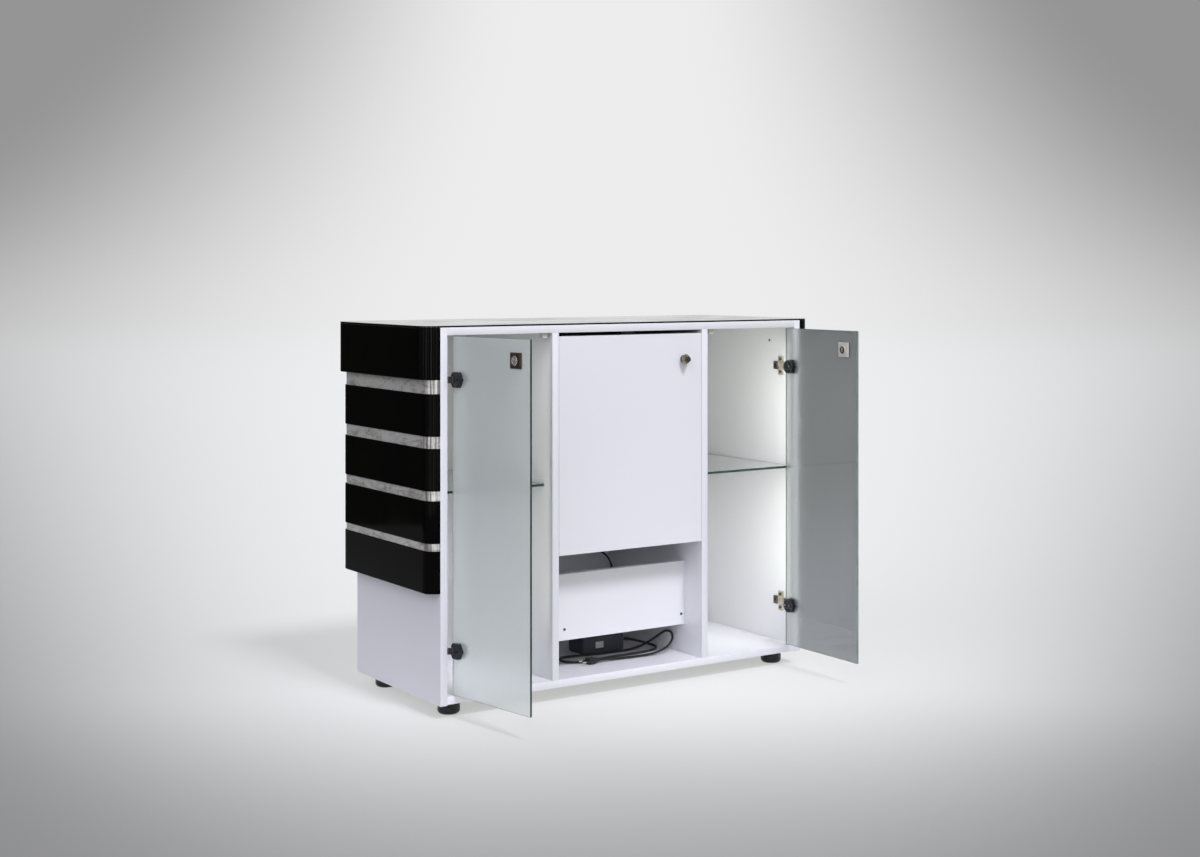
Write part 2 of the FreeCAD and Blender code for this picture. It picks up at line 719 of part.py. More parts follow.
def hinges():
    """Arms, pins, cross plates and screws on the side panels; gives the screws of each side."""
    arms = []
    pins = []
    plates = []
    screws = {side: [] for side in SIDES}
    for side in SIDES:
        for level, z in HINGE_LEVELS.items():
            name = f"{side}_{level}_hinge"
            face = "left_x + board_thick"
            low = f"{z} - arm_height / 2"
            pivot = (mirrored(side, PIVOT_X), PIVOT_Y, low)
            knuckle = rod(name + "_knuckle", pivot, "knuckle_radius", "arm_height")
            arm_y = f"{PIVOT_Y} - arm_thick / 2"
            web = box(name + "_web", (mirrored(side, face, "pivot_side_gap"), arm_y, low),
                      ("pivot_side_gap", "arm_thick", "arm_height"))
            leaf = box(name + "_leaf", (mirrored(side, face, "arm_thick"), arm_y, low),
                       ("arm_thick", "arm_reach", "arm_height"))
            pin_half = "(sqrt(cap_radius ^ 2 - cap_x ^ 2) - cap_ease)"
            pin_foot = (pivot[0], PIVOT_Y, f"{z} - {pin_half}")
            pin = rod(name + "_pin", pin_foot, "hinge_pin_radius", f"2 * {pin_half}")
            arm = cut(name + "_arm", fuse(name + "_bent", [knuckle, web, leaf]), pin)
            arms.append(arm)
            pins.append(pin)
            plate_x = mirrored(side, face, "plate_thick")
            wing_foot = (plate_x, "front_y + plate_wing_setback", f"{z} - plate_wing_height / 2")
            wing = box(name + "_wing", wing_foot, ("plate_thick", "plate_wing_depth", "plate_wing_height"))
            tongue_depth = "arm_reach - pivot_forward - arm_thick - tongue_start"
            tongue_foot = (plate_x, "front_y + tongue_start", f"{z} - tongue_height / 2")
            tongue = box(name + "_tongue", tongue_foot, ("plate_thick", tongue_depth, "tongue_height"))
            cross = fuse(name + "_cross", [wing, tongue])
            length = "hinge_screw_bite + plate_thick"
            shank_x = mirrored(side, f"{face} - hinge_screw_bite", length)
            head_x = mirrored(side, f"{face} + plate_thick", "hinge_screw_head")
            screw_y = "front_y + plate_wing_setback + plate_wing_depth / 2"
            held = []
            for end, sign in (("top", "+"), ("low", "-")):
                height = f"{z} {sign} hinge_screw_spread"
                shank = rod(f"{name}_{end}_shank", (shank_x, screw_y, height), "hinge_screw_radius",
                            length, "x")
                head = rod(f"{name}_{end}_head", (head_x, screw_y, height), "hinge_screw_head_radius",
                           "hinge_screw_head", "x")
                held.append(fuse(f"{name}_{end}_screw", [shank, head]))
            screws[side].extend(held)
            plates.append(cut(name + "_plate", cross, group(name + "_plate_tools", [arm] + held)))
    node(group("hinge_arm_group", arms), "hinge_arms")
    node(group("hinge_pin_group", pins), "hinge_pins")
    node(group("hinge_plate_group", plates), "hinge_mount_plates")
    node(group("hinge_screw_group", screws["left"] + screws["right"]), "hinge_screws")
    stops = []
    for side in SIDES:
        x = mirrored(side, "centre_left_x - board_thick - stop_side_gap - stop_side", "stop_side")
        y = "front_y + glass_setback + glass_thick + spigot_gap"
        stops.append(box(f"{side}_stop", (x, y, "bay_top_z - stop_height"),
                         ("stop_side", "stop_side", "stop_height")))
    node(group("door_stop_group", stops), "door_stops")
    return screws


# Fold out shelf

def stay(side):
    """A quadrant stay: a flat ring segment round the flap's axis with a flange on the flap."""
    low = "centre_left_x + stay_side_gap"
    x = mirrored(side, low, "stay_thick")
    name = f"{side}_stay"
    sector = doc.addObject("Part::Cylinder", name + "_sector")
    roll = FreeCAD.Rotation(FreeCAD.Vector(0, 0, 1), 90 - size("stay_tail_angle"))
    sector.Placement = FreeCAD.Placement(FreeCAD.Vector(), AXIS_TURNS["x"] * roll)
    bind(sector, Radius="stay_radius + stay_width / 2", Height="stay_thick", Angle="90 + stay_tail_angle")
    on_axis = (x, "flap_axis_y", "flap_axis_z")
    place(sector, *on_axis)
    hollow = rod(name + "_hollow", on_axis, "stay_radius - stay_width / 2", "stay_thick", "x")
    ring = cut(name + "_ring", sector, hollow)
    face = "front_y + flap_thick"
    behind = box(name + "_behind", (x, face, "flap_axis_z - stay_radius"),
                 ("stay_thick", "2 * stay_radius", "3 * stay_radius"))
    flange_x = mirrored(side, f"{low} + stay_thick / 2 - stay_flange_width / 2", "stay_flange_width")
    flange_z = "flap_axis_z + stay_radius - stay_flange_height / 2"
    flange = box(name + "_flange", (flange_x, face, flange_z),
                 ("stay_flange_width", "stay_flange_thick", "stay_flange_height"))
    return fuse(name, [common(name + "_kept", ring, behind), flange])


def stay_guide(side):
    """A block on the divider with a curved channel that the stay runs through."""
    name = f"{side}_guide"
    low = "centre_left_x + stay_side_gap"
    width = "stay_side_gap + stay_thick + guide_gap + guide_wall"
    y = "flap_axis_y + stay_radius * cos(guide_angle * 1 deg) - guide_depth / 2"
    z = "flap_axis_z + stay_radius * sin(guide_angle * 1 deg) - guide_height / 2"
    block = box(name + "_block", (mirrored(side, "centre_left_x", width), y, z),
                (width, "guide_depth", "guide_height"))
    channel_width = "stay_thick + 2 * guide_gap"
    foot = (mirrored(side, f"{low} - guide_gap", channel_width), "flap_axis_y", "flap_axis_z")
    outer = rod(name + "_outer", foot, "stay_radius + stay_width / 2 + guide_gap", channel_width, "x")
    inner = rod(name + "_inner", foot, "stay_radius - stay_width / 2 - guide_gap", channel_width, "x")
    return cut(name, block, cut(name + "_channel", outer, inner))


def knob():
    """A turned knob with a dark end, screwed on through the flap; gives the screw."""
    bulge = "(knob_radius - knob_neck_radius)"
    curve = f"((knob_length ^ 2 / 4 + {bulge} ^ 2) / (2 * {bulge}))"
    tip = "knob_neck_length + knob_length"
    points = [
        ("0", "0"),
        ("knob_neck_radius", "0"),
        ("knob_neck_radius", "knob_neck_length"),
        ("knob_neck_radius", tip),
        ("0", tip),
    ]
    centre = (f"knob_radius - {curve}", "knob_neck_length + knob_length / 2", curve)
    body = turned("knob_turned", points, {2: centre})
    outward = FreeCAD.Rotation(FreeCAD.Vector(1, 0, 0), 90)
    body.Placement = FreeCAD.Placement(FreeCAD.Vector(), outward)
    place(body, "knob_x", "front_y", "knob_z")
    shank_start = "front_y - knob_neck_length - knob_length / 2"
    shank_length = "knob_neck_length + knob_length / 2 + flap_thick"
    shank = rod("knob_shank", ("knob_x", shank_start, "knob_z"), "knob_screw_radius", shank_length, "y")
    head = rod("knob_screw_top", ("knob_x", "front_y + flap_thick", "knob_z"), "knob_screw_head_radius",
               "knob_screw_head", "y")
    screw = node(fuse("knob_screw_solid", [shank, head]), "knob_screw")
    node(cut("knob_bored", body, screw), "knob")
    end_foot = ("knob_x", f"front_y - ({tip}) - knob_end_length", "knob_z")
    node(rod("knob_end_disc", end_foot, "knob_end_radius", "knob_end_length", "y"), "knob_end")
    return screw


def flap():
    """The flap with its pins, stays, guides and stop; gives what is let into each divider."""
    pins = []
    bushes = {}
    lined = []
    stays = []
    guides = []
    for side in SIDES:
        low = "centre_left_x - flap_bush_depth"
        length = "flap_bush_depth + flap_side_gap + flap_pin_grip"
        foot = (mirrored(side, low, length), "flap_axis_y", "flap_axis_z")
        pins.append(rod(f"{side}_flap_pin", foot, "flap_pin_radius", length, "x"))
        foot = (mirrored(side, low, "flap_bush_depth"), "flap_axis_y", "flap_axis_z")
        bushes[side] = rod(f"{side}_bush_blank", foot, "flap_bush_radius", "flap_bush_depth", "x")
        bore = rod(f"{side}_bush_bore", foot, "flap_pin_radius + pin_running_gap", "flap_bush_depth", "x")
        lined.append(cut(f"{side}_bush", bushes[side], bore))
        stays.append(stay(side))
        guides.append(stay_guide(side))
    node(group("flap_pin_group", pins), "flap_pins")
    node(group("flap_bush_group", lined), "flap_bushes")
    node(group("stay_group", stays), "flap_stays")
    node(group("guide_group", guides), "stay_guides")
    screw = knob()
    width = "centre_bay_width - 2 * flap_side_gap"
    raw = box("flap_raw", ("centre_left_x + flap_side_gap", "front_y", "flap_z"),
              (width, "flap_thick", "flap_height"))
    node(cut("flap_bored", raw, group("flap_tools", pins + [screw])), "flap_panel")
    stop_y = "front_y + flap_thick + spigot_gap"
    node(box("flap_stop_block", ("-flap_stop_width / 2", stop_y, "bay_top_z - flap_stop_drop"),
             ("flap_stop_width", "flap_stop_depth", "flap_stop_drop")), "flap_stop")
    return bushes


# Niche under the fold out shelf, with its cover panel, power supply and leads

def niche(floor_holes):
    slots = list(floor_holes)
    for side in SIDES:
        width = "stay_thick + 2 * stay_slot_gap"
        depth = "stay_width + 2 * stay_slot_gap"
        x = mirrored(side, "centre_left_x + stay_side_gap - stay_slot_gap", width)
        y = f"flap_axis_y + stay_radius - ({depth}) / 2"
        slots.append(box(f"{side}_stay_slot", (x, y, "flap_z"), (width, depth, "board_thick")))
    raw = box("compartment_floor_raw", ("centre_left_x", "compartment_front_y", "flap_z"),
              ("centre_bay_width", "compartment_depth", "board_thick"))
    node(cut("compartment_floor_cut", raw, group("compartment_floor_tools", slots)), "compartment_floor")
    screws = []
    level = "side_base_z + cover_screw_level"
    places = {
        "near": "centre_left_x + cover_screw_side_inset",
        "far": "centre_right_x - cover_screw_far_inset",
    }
    for name, x in places.items():
        shank = rod(f"cover_{name}_shank", (x, "cover_y", level), "cover_screw_radius",
                    "board_thick + cover_screw_bite", "y")
        head = rod(f"cover_{name}_head", (x, "cover_y - cover_screw_head", level), "cover_screw_head_radius",
                   "cover_screw_head", "y")
        screws.append(fuse(f"cover_{name}_screw", [head, shank]))
    held = node(group("cover_screw_group", screws), "cover_screws")
    raw = box("cover_raw", ("centre_left_x", "cover_y", "side_base_z + cover_bottom"),
              ("centre_bay_width", "board_thick", "cover_height"))
    node(cut("cover_bored", raw, held), "niche_cover_panel")
    raw = box("cleat_raw", ("centre_left_x", "cleat_y", f"{level} - cleat_height / 2"),
              ("centre_bay_width", "cleat_depth", "cleat_height"))
    node(cut("cleat_bored", raw, held), "cover_cleat")
    brick = box("supply_raw", ("supply_x", "supply_y", "bay_floor_z"),
                ("supply_width", "supply_depth", "supply_height"))
    node(ease("supply_eased", brick, "supply_ease", lambda edge: True), "power_supply")


# A lead's route: across from the left divider, back from the front, up from the niche floor
MAINS_ROUTE = [
    (322, 226, 22), (350, 226, 20), (381, 222, 12), (403, 200, 5), (405, 165, 4), (384, 138, 4),
    (347, 128, 4), (289, 124, 4), (229, 126, 4), (180, 121, 4), (140, 119, 4), (119, 126, 4),
    (107, 143, 4), (107, 165, 4), (119, 182, 4), (140, 189, 4), (178, 182, 4), (219, 173, 4),
    (274, 170, 4), (329, 168, 4), (377, 174, 12), (410, 168, 30), (422, 150, 46), (424, 124, 47),
    (412, 102, 32), (385, 92, 15), (345, 90, 5), (285, 95, 4), (230, 100, 4), (186, 101, 8),
]
SUPPLY_ROUTE = [
    (262, 405, 296), (263, 405, 274), (274, 404, 255), (302, 402, 244), (340, 399, 238), (376, 394, 228),
    (400, 382, 208), (404, 366, 182), (394, 348, 156), (372, 328, 132), (346, 308, 112), (320, 288, 94),
    (298, 268, 82), (284, 252, 66), (281, 247, 44),
]


# The share of each straight run that the bend at its end may take
BEND_SHARE = 0.45


def in_niche(point):
    across, back, up = point
    return FreeCAD.Vector(size("centre_left_x") + across, size("front_y") + back, size("bay_floor_z") + up)


def supply_points():
    """The supply lead's route, stretched from its outlet so that it starts at the grommet."""
    grommet = SUPPLY_ROUTE[0][1]
    outlet = SUPPLY_ROUTE[-1][1]
    stretch = (size("grommet_setback") - outlet) / (grommet - outlet)
    return [in_niche((across, outlet + (back - outlet) * stretch, up)) for across, back, up in SUPPLY_ROUTE]


def rounded_route(points, label):
    """Straight runs joined by arcs as large as the runs allow."""
    edges = []
    radii = []
    here = points[0]
    for before, corner, after in zip(points, points[1:], points[2:]):
        into = corner - before
        out = after - corner
        half_turn = into.getAngle(out) / 2
        trim = BEND_SHARE * min(into.Length, out.Length)
        radii.append(trim / math.tan(half_turn))
        start = corner - into.normalize() * trim
        end = corner + out.normalize() * trim
        inward = (out - into).normalize()
        reach = radii[-1] / math.cos(half_turn) - radii[-1]
        middle = corner + inward * reach
        edges.append(Part.LineSegment(here, start).toShape())
        edges.append(Part.Arc(start, middle, end).toShape())
        here = end
    edges.append(Part.LineSegment(here, points[-1]).toShape())
    print(label, "bend radii", [round(radius, 1) for radius in radii])
    return Part.Wire(edges)


def lead(label, points, radius):
    """A round lead swept along its route."""
    path = rounded_route(points, label)
    start = points[1] - points[0]
    section = Part.Wire([Part.Circle(points[0], start, radius).toShape()])
    solid = path.makePipeShell([section], True, False)
    volume_share = solid.Volume / (math.pi * radius ** 2 * path.Length)
    print(label, "length", round(path.Length, 1), "volume over section times length", round(volume_share, 5))
    thing = doc.addObject("Part::Feature", label + "_tube")
    thing.Shape = solid
    return node(thing, label)


def leads():
    lead("mains_lead", [in_niche(point) for point in MAINS_ROUTE], size("lead_radius"))
    lead("supply_lead", supply_points(), size("lamp_lead_radius"))
    end = in_niche(MAINS_ROUTE[-1])
    plug_body = doc.addObject("Part::Box", "plug_raw")
    bind(plug_body, Length="plug_length", Width="plug_width", Height="plug_height")
    half_width = size("plug_width / 2")
    plug_body.Placement.Base = end - FreeCAD.Vector(size("plug_length"), half_width, size("plug_height / 2"))
    shell = ease("plug_eased", plug_body, "plug_ease", lambda edge: True)
    pins = []
    for number, sign in enumerate((-1, 1)):
        pin = doc.addObject("Part::Cylinder", f"plug_pin_{number}")
        bind(pin, Radius="plug_pin_radius", Height="plug_pin_length")
        aside = sign * size("plug_pin_spread / 2")
        foot = end - FreeCAD.Vector(size("plug_length + plug_pin_length"), aside, 0)
        pin.Placement = FreeCAD.Placement(foot, AXIS_TURNS["x"])
        pins.append(pin)
    node(group("plug_group", [shell] + pins), "mains_plug")


# How far up the compartment its wall clips sit
WALL_CLIP_SHARES = (0.25, 0.6)


def lamp():
    """The lamp under the top board, its clipped lead and the grommet in the compartment floor."""
    x = f"centre_left_x + {SUPPLY_ROUTE[0][0]}"
    y = "front_y + grommet_setback"
    floor_top = "flap_z + board_thick"
    hole = rod("grommet_hole", (x, y, "flap_z"), "grommet_radius", "board_thick")
    flange = rod("grommet_flange_disc", (x, y, floor_top), "grommet_flange_radius", "grommet_flange")
    sleeve = rod("grommet_sleeve", (x, y, "flap_z"), "grommet_radius", "board_thick")
    start = FreeCAD.Vector(size(x), size(y), size("flap_z"))
    top = size("bay_top_z - lamp_lead_radius - lamp_clip_wall")
    lamp_rear = size("front_y + lamp_setback + lamp_depth")
    corner = FreeCAD.Vector(start.x, start.y, top)
    finish = FreeCAD.Vector(start.x, lamp_rear, top)
    bend = size("lamp_lead_bend")
    edges = [
        Part.LineSegment(start, corner - FreeCAD.Vector(0, 0, bend)).toShape(),
        Part.Arc(corner - FreeCAD.Vector(0, 0, bend),
                 corner - FreeCAD.Vector(0, bend, bend) * (1 - math.sqrt(0.5)),
                 corner - FreeCAD.Vector(0, bend, 0)).toShape(),
        Part.LineSegment(corner - FreeCAD.Vector(0, bend, 0), finish).toShape(),
    ]
    section = Part.Wire([Part.Circle(start, FreeCAD.Vector(0, 0, 1), size("lamp_lead_radius")).toShape()])
    tube = doc.addObject("Part::Feature", "lamp_lead_tube")
    tube.Shape = Part.Wire(edges).makePipeShell([section], True, False)
    node(tube, "lamp_lead")
    node(cut("grommet_bored", fuse("grommet_solid", [flange, sleeve]), tube), "grommet")
    clips = []
    wide = "2 * (lamp_lead_radius + lamp_clip_wall)"
    panel = "rear_y - public_panel_thick"
    clip_front = f"{y} - lamp_lead_radius - lamp_clip_wall"
    for number, share in enumerate(WALL_CLIP_SHARES):
        z = f"{floor_top} + {share} * (bay_top_z - ({floor_top}))"
        block = box(f"wall_clip_{number}_raw", (f"{x} - ({wide}) / 2", clip_front, z),
                    (wide, f"{panel} - ({clip_front})", "lamp_clip_width"))
        clips.append(cut(f"wall_clip_{number}", block, tube))
    clip_y = "front_y + (lamp_setback + lamp_depth + grommet_setback) / 2"
    block = box("top_clip_raw", (f"{x} - ({wide}) / 2", clip_y, f"bay_top_z - ({wide})"),
                (wide, "lamp_clip_width", wide))
    clips.append(cut("top_clip", block, tube))
    node(group("lead_clip_group", clips), "lead_clips")
    raw = box("lamp_raw", ("-lamp_length / 2", "front_y + lamp_setback", "bay_top_z - lamp_height"),
              ("lamp_length", "lamp_depth", "lamp_height"))
    low_z = size("bay_top_z - lamp_height")
    node(ease("lamp_eased", raw, "lamp_height / 4", lambda edge: abs(edge.CenterOfMass.z - low_z) < SAME),
         "compartment_lamp")
    return hole


def main():
    dowels = dowel_rows()
    node(group("dowel_group", dowels), "board_dowels")
    bands()
    foot_screws = feet()
    pins = shelves()
    doors()
    hinge_screws = hinges()
    bushes = flap()
    grommet_hole = lamp()
    niche([grommet_hole])
    leads()

    def dowels_of(*words):
        return [dowel for dowel in dowels if any(word in dowel.Name for word in words)]

    fixings = {
        "bottom": group("bottom_tools", dowels_of("bottom", "foot") + [foot_screws]),
        "top": group("top_tools", dowels_of("top", "head")),
    }
    for side in SIDES:
        side_tools = dowels_of(f"{side}_bottom", f"{side}_top") + pins[f"{side}_side"] + hinge_screws[side]
        fixings[f"{side}_side"] = group(f"{side}_side_tools", side_tools)
        divider_tools = dowels_of(f"{side}_foot", f"{side}_head") + pins[f"{side}_divider"] + [bushes[side]]
        fixings[f"{side}_divider"] = group(f"{side}_divider_tools", divider_tools)
    carcass(fixings)
    doc.recompute()
    for thing in doc.Objects:
        if "Invalid" in thing.State or "Error" in thing.State:
            raise RuntimeError(f"{thing.Name} failed: {thing.State}")
    for label, thing in NODES.items():
        if thing.Shape.isNull() or not thing.Shape.isValid() or not thing.Shape.Solids:
            raise RuntimeError(f"{label} has no valid solid")
    os.makedirs("parts", exist_ok=True)
    for label, thing in NODES.items():
        thing.Shape.exportStep(f"parts/{label}.step")
    print(len(NODES), "nodes written")


main()
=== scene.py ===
import json
import math
from functools import cache

import bmesh
import bpy
from bpy.props import FloatProperty, FloatVectorProperty, IntProperty, PointerProperty
from bpy.types import NodeSocket, Operator, Panel, PropertyGroup
from mathutils import Matrix, Vector


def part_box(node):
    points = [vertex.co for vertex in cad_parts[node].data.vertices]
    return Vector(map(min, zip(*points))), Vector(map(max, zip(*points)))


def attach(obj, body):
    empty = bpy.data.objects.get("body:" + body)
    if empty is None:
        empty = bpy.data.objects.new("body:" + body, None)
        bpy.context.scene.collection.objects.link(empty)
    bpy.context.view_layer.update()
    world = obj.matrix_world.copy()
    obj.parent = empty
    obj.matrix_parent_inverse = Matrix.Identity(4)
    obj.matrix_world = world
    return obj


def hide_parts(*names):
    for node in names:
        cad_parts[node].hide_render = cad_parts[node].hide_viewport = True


bl_info = {
    "name": "Bar cabinet",
    "version": (1, 0, 0),
    "blender": (4, 5, 0),
    "location": "View3D > Sidebar > Cabinet",
    "description": "Dresses a bar cabinet with glass doors and a fold out shelf",
    "category": "Object",
}

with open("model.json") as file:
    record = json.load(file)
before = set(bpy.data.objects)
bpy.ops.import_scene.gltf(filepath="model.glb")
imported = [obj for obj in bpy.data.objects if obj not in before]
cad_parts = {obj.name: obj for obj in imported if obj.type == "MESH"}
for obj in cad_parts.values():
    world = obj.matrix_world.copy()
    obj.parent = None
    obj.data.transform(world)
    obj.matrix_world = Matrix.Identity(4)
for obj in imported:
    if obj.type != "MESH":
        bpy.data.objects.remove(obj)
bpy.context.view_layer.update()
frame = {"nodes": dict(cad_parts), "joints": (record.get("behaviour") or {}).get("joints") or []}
NODES = frame["nodes"]
JOINTS = {joint["name"]: joint for joint in frame["joints"]}
CARCASS = "carcass"
FLAP = "flap"
UP = Vector((0, 0, 1))
FRONTWARD = Vector((0, -1, 0))
BACKWARD = Vector((0, 1, 0))
INWARD = {"left": Vector((1, 0, 0)), "right": Vector((-1, 0, 0))}
SIDES = tuple(INWARD)


# Settings

def colour(name, words, default):
    return FloatVectorProperty(name=name, description=words, default=default, subtype="COLOR", min=0, max=1)


def length(name, words, default):
    return FloatProperty(name=name, description=words, default=default, unit="LENGTH", min=0, precision=4)


def amount(name, words, default, most=1000.0):
    return FloatProperty(name=name, description=words, default=default, min=0, max=most)


class CabinetColours(PropertyGroup):
    """Colours of the cabinet's finishes"""
    board: colour("Boards", "White melamine", (0.86, 0.86, 0.887))
    band: colour("Bands", "Black high gloss", (0.0016, 0.0016, 0.0018))
    strip: colour("Strips", "Bright foil between the bands", (0.88, 0.865, 0.81))
    frosted: colour("Frosted glass", "Door panes", (0.935, 1.0, 0.955))
    clear: colour("Clear glass", "Shelves", (0.975, 0.992, 0.984))
    glass_edge: colour("Glass edges", "Cut edges of the left pane and the shelves", (0.018, 0.034, 0.03))
    pale_edge: colour("Pale glass edges", "Cut edges that the light shines through", (0.17, 0.23, 0.215))
    moulded: colour("Moulded black", "Hinge caps and feet", (0.009, 0.01, 0.014))
    nickel: colour("Nickel", "Hinge plates, pins and stays", (0.9, 0.83, 0.7))
    screw: colour("Screws", "Dark plated steel", (0.13, 0.125, 0.12))
    bronze: colour("Bronze", "Outer lock plates", (0.075, 0.058, 0.043))
    ivory: colour("Ivory", "Inner lock plates, guides and clips", (0.7, 0.67, 0.6))
    brass: colour("Old brass", "Knob", (0.46, 0.4, 0.31))
    # The knob end's dark colour is a painted reflection of a dim room in its polished end face.
    knob_end: colour("Knob end", "Dark end of the knob", (0.075, 0.08, 0.077))
    lead: colour("Leads", "Black cord sheath", (0.014, 0.014, 0.016))
    supply: colour("Power supply", "Blue grey housing", (0.05, 0.053, 0.07))
    patch: colour("Blank patch", "Plain pale patch on the power supply", (0.66, 0.66, 0.68))
    opal: colour("Opal", "Lamp cover", (0.78, 0.78, 0.75))


class CabinetSizes(PropertyGroup):
    """Sizes of the details that dress the cabinet"""
    glass_chamfer: length("Glass chamfer", "Ground edge of panes and shelves", 0.0005)
    edge_band: length("Edge band", "Thickness of the lipping on the boards' front edges", 0.0004)
    lock_ring: length("Lock ring", "Outer radius of the ring round a lock barrel", 0.0105)
    lock_barrel: length("Lock barrel", "Radius of a lock barrel outside", 0.0058)
    inner_barrel: length("Inner barrel", "Radius of a lock barrel inside", 0.0084)
    lock_rise: length("Lock rise", "How far a lock ring stands up from its plate", 0.0016)
    tail_rise: length("Hinge tail rise", "Block behind a hinge's cross plate, from the side panel", 0.0052)
    tail_depth: length("Hinge tail depth", "Block behind a hinge's cross plate", 0.021)
    tail_height: length("Hinge tail height", "Block behind a hinge's cross plate", 0.016)
    ring_lip: length("Ring lip", "Rise of the lip and ribs on an inner ring", 0.0009)
    boot_length: length("Boot length", "Strain relief at the power supply", 0.034)
    boot_radius: length("Boot radius", "Strain relief where it leaves the housing", 0.0065)
    patch_width: length("Patch width", "Blank patch on the power supply", 0.024)
    patch_height: length("Patch height", "Blank patch on the power supply", 0.016)
    pin_hole: length("Pin hole", "Radius of a spare shelf pin hole", 0.0025)
    turn_steps: IntProperty(name="Turning steps", description="Facets round a turned piece", default=48,
                            min=12)


class StageLooks(PropertyGroup):
    """Floor, backdrop, lamps and camera"""
    floor: colour("Floor", "Middle of the floor", (0.858, 0.864, 0.846))
    floor_rim: colour("Floor rim", "Floor far from the cabinet", (0.263, 0.263, 0.26))
    floor_glow: amount("Floor glow", "Even lift of the floor as it is seen", 0.56)
    floor_lit: amount("Floor lit", "Share of the lamps' light on the floor as it is seen", 0.45, most=1)
    floor_bounce: amount("Floor bounce", "Share of the floor's light thrown on the cabinet", 0.62, most=1)
    backdrop: colour("Backdrop", "Brightest part behind the cabinet", (0.84, 0.845, 0.84))
    backdrop_rim: colour("Backdrop rim", "Backdrop beside the middle", (0.3, 0.3, 0.3))
    backdrop_side: colour("Backdrop sides", "Backdrop all round the rest", (0.45, 0.45, 0.45))
    # The dim card is painted shade: a dim room seen through the right door, paler low down as painted light
    # from a lit floor.
    card: colour("Dim card", "What shows through the right door", (0.006, 0.006, 0.007))
    card_low: colour("Dim card, low", "What shows through the right door near the floor", (0.12, 0.12, 0.15))
    strip_glow: amount("Strip cards", "Bright strips that gloss reflects", 5.5)
    flag: colour("Flag", "Dark card that gloss reflects on the left", (0.05, 0.05, 0.045))
    ambient: amount("Ambient", "Even light from the front and right", 0.3)
    ambient_back: amount("Ambient, back", "Even light from the back and left", 0.12)
    ambient_tint: colour("Ambient tint", "Even light from the front", (0.96, 1.0, 0.94))
    ambient_back_tint: colour("Ambient tint, back", "Even light from the back", (0.76, 0.79, 1.0))
    key_tint: colour("Key tint", "Lights from the left, from above and from behind", (0.885, 0.88, 1.0))
    fill_tint: colour("Fill tint", "Broad light from the right", (0.98, 1.0, 0.93))
    bay_tint: colour("Bay tint", "Light in the bays", (0.97, 1.0, 0.84))
    key_strength: amount("Key light", "Strength of the broad light from the left", 1.28)
    fill_strength: amount("Fill light", "Strength of the light from the right", 0.62)
    top_strength: amount("Top light", "Strength of the light from above", 2.05)
    rear_strength: amount("Rear light", "Strength of the light behind the cabinet", 0.9)
    left_bay_lamp: amount("Left bay light", "Power in watts", 0.3)
    right_bay_lamp: amount("Right bay light", "Power in watts", 0.72)
    bay_lamp_height: length("Bay light height", "Height of the light in a bay's opening", 0.66)
    lens: amount("Lens", "Focal length in mm", 52.8)
    eye: FloatVectorProperty(name="Eye", description="Camera place", default=(-2.472, -3.6486, 1.032),
                             subtype="TRANSLATION", unit="LENGTH")
    heading: FloatProperty(name="Heading", description="Camera turned from +Y towards +X",
                           default=math.radians(33.8), subtype="ANGLE")
    rise: FloatProperty(name="Rise", description="Vertical shift of the frame", default=-0.1321)


def colours():
    return bpy.context.scene.cabinet_colours


def sizes():
    return bpy.context.scene.cabinet_sizes


def stage_looks():
    return bpy.context.scene.cabinet_stage


# Node helpers

def feed(tree, made, inputs):
    """Wire sockets into a node's inputs, or set the inputs to plain values and colours."""
    for name, value in inputs.items():
        place = made.inputs[name]
        if isinstance(value, NodeSocket):
            tree.links.new(value, place)
        else:
            place.default_value = (*value, 1) if place.type == "RGBA" else value


def node(tree, kind, inputs, **settings):
    """A new node with its settings made and its inputs fed."""
    made = tree.nodes.new(kind)
    for name, value in settings.items():
        setattr(made, name, value)
    feed(tree, made, inputs)
    return made


def noise(tree, vector, scale, detail=3.0, roughness=0.55, distortion=0.0):
    inputs = {"Vector": vector, "Scale": scale, "Detail": detail, "Roughness": roughness,
              "Distortion": distortion}
    return node(tree, "ShaderNodeTexNoise", inputs).outputs["Fac"]


def map_range(tree, value, low, high, start=0.0, end=1.0):
    """value from start..end to low..high, smoothly and clamped."""
    inputs = {"Value": value, "From Min": start, "From Max": end, "To Min": low, "To Max": high}
    return node(tree, "ShaderNodeMapRange", inputs, interpolation_type="SMOOTHSTEP").outputs["Result"]


def math_node(tree, operation, *values):
    return node(tree, "ShaderNodeMath", dict(enumerate(values)), operation=operation).outputs[0]


def vector_node(tree, operation, *values):
    return node(tree, "ShaderNodeVectorMath", dict(enumerate(values)), operation=operation).outputs


def turned_dot(tree, vector, direction):
    return vector_node(tree, "DOT_PRODUCT", vector, direction)["Value"]


def scaled(tree, vector, share):
    inputs = {0: vector, "Scale": share}
    return node(tree, "ShaderNodeVectorMath", inputs, operation="SCALE").outputs["Vector"]


def mix_colour(tree, share, first, second):
    return node(tree, "ShaderNodeMix", {0: share, 6: first, 7: second}, data_type="RGBA").outputs[2]


def new_group(name, inputs, outputs, kind="ShaderNodeTree"):
    """A node group; gives the group, the sockets it is given and its output node."""
    group = bpy.data.node_groups.new(name, kind)
    for direction, rows in (("INPUT", inputs), ("OUTPUT", outputs)):
        for socket_name, socket_kind, *default in rows:
            socket_type = "NodeSocket" + socket_kind
            socket = group.interface.new_socket(name=socket_name, in_out=direction, socket_type=socket_type)
            if default:
                socket.default_value = default[0]
    return group, group.nodes.new("NodeGroupInput").outputs, group.nodes.new("NodeGroupOutput")


# Shader groups shared by several finishes

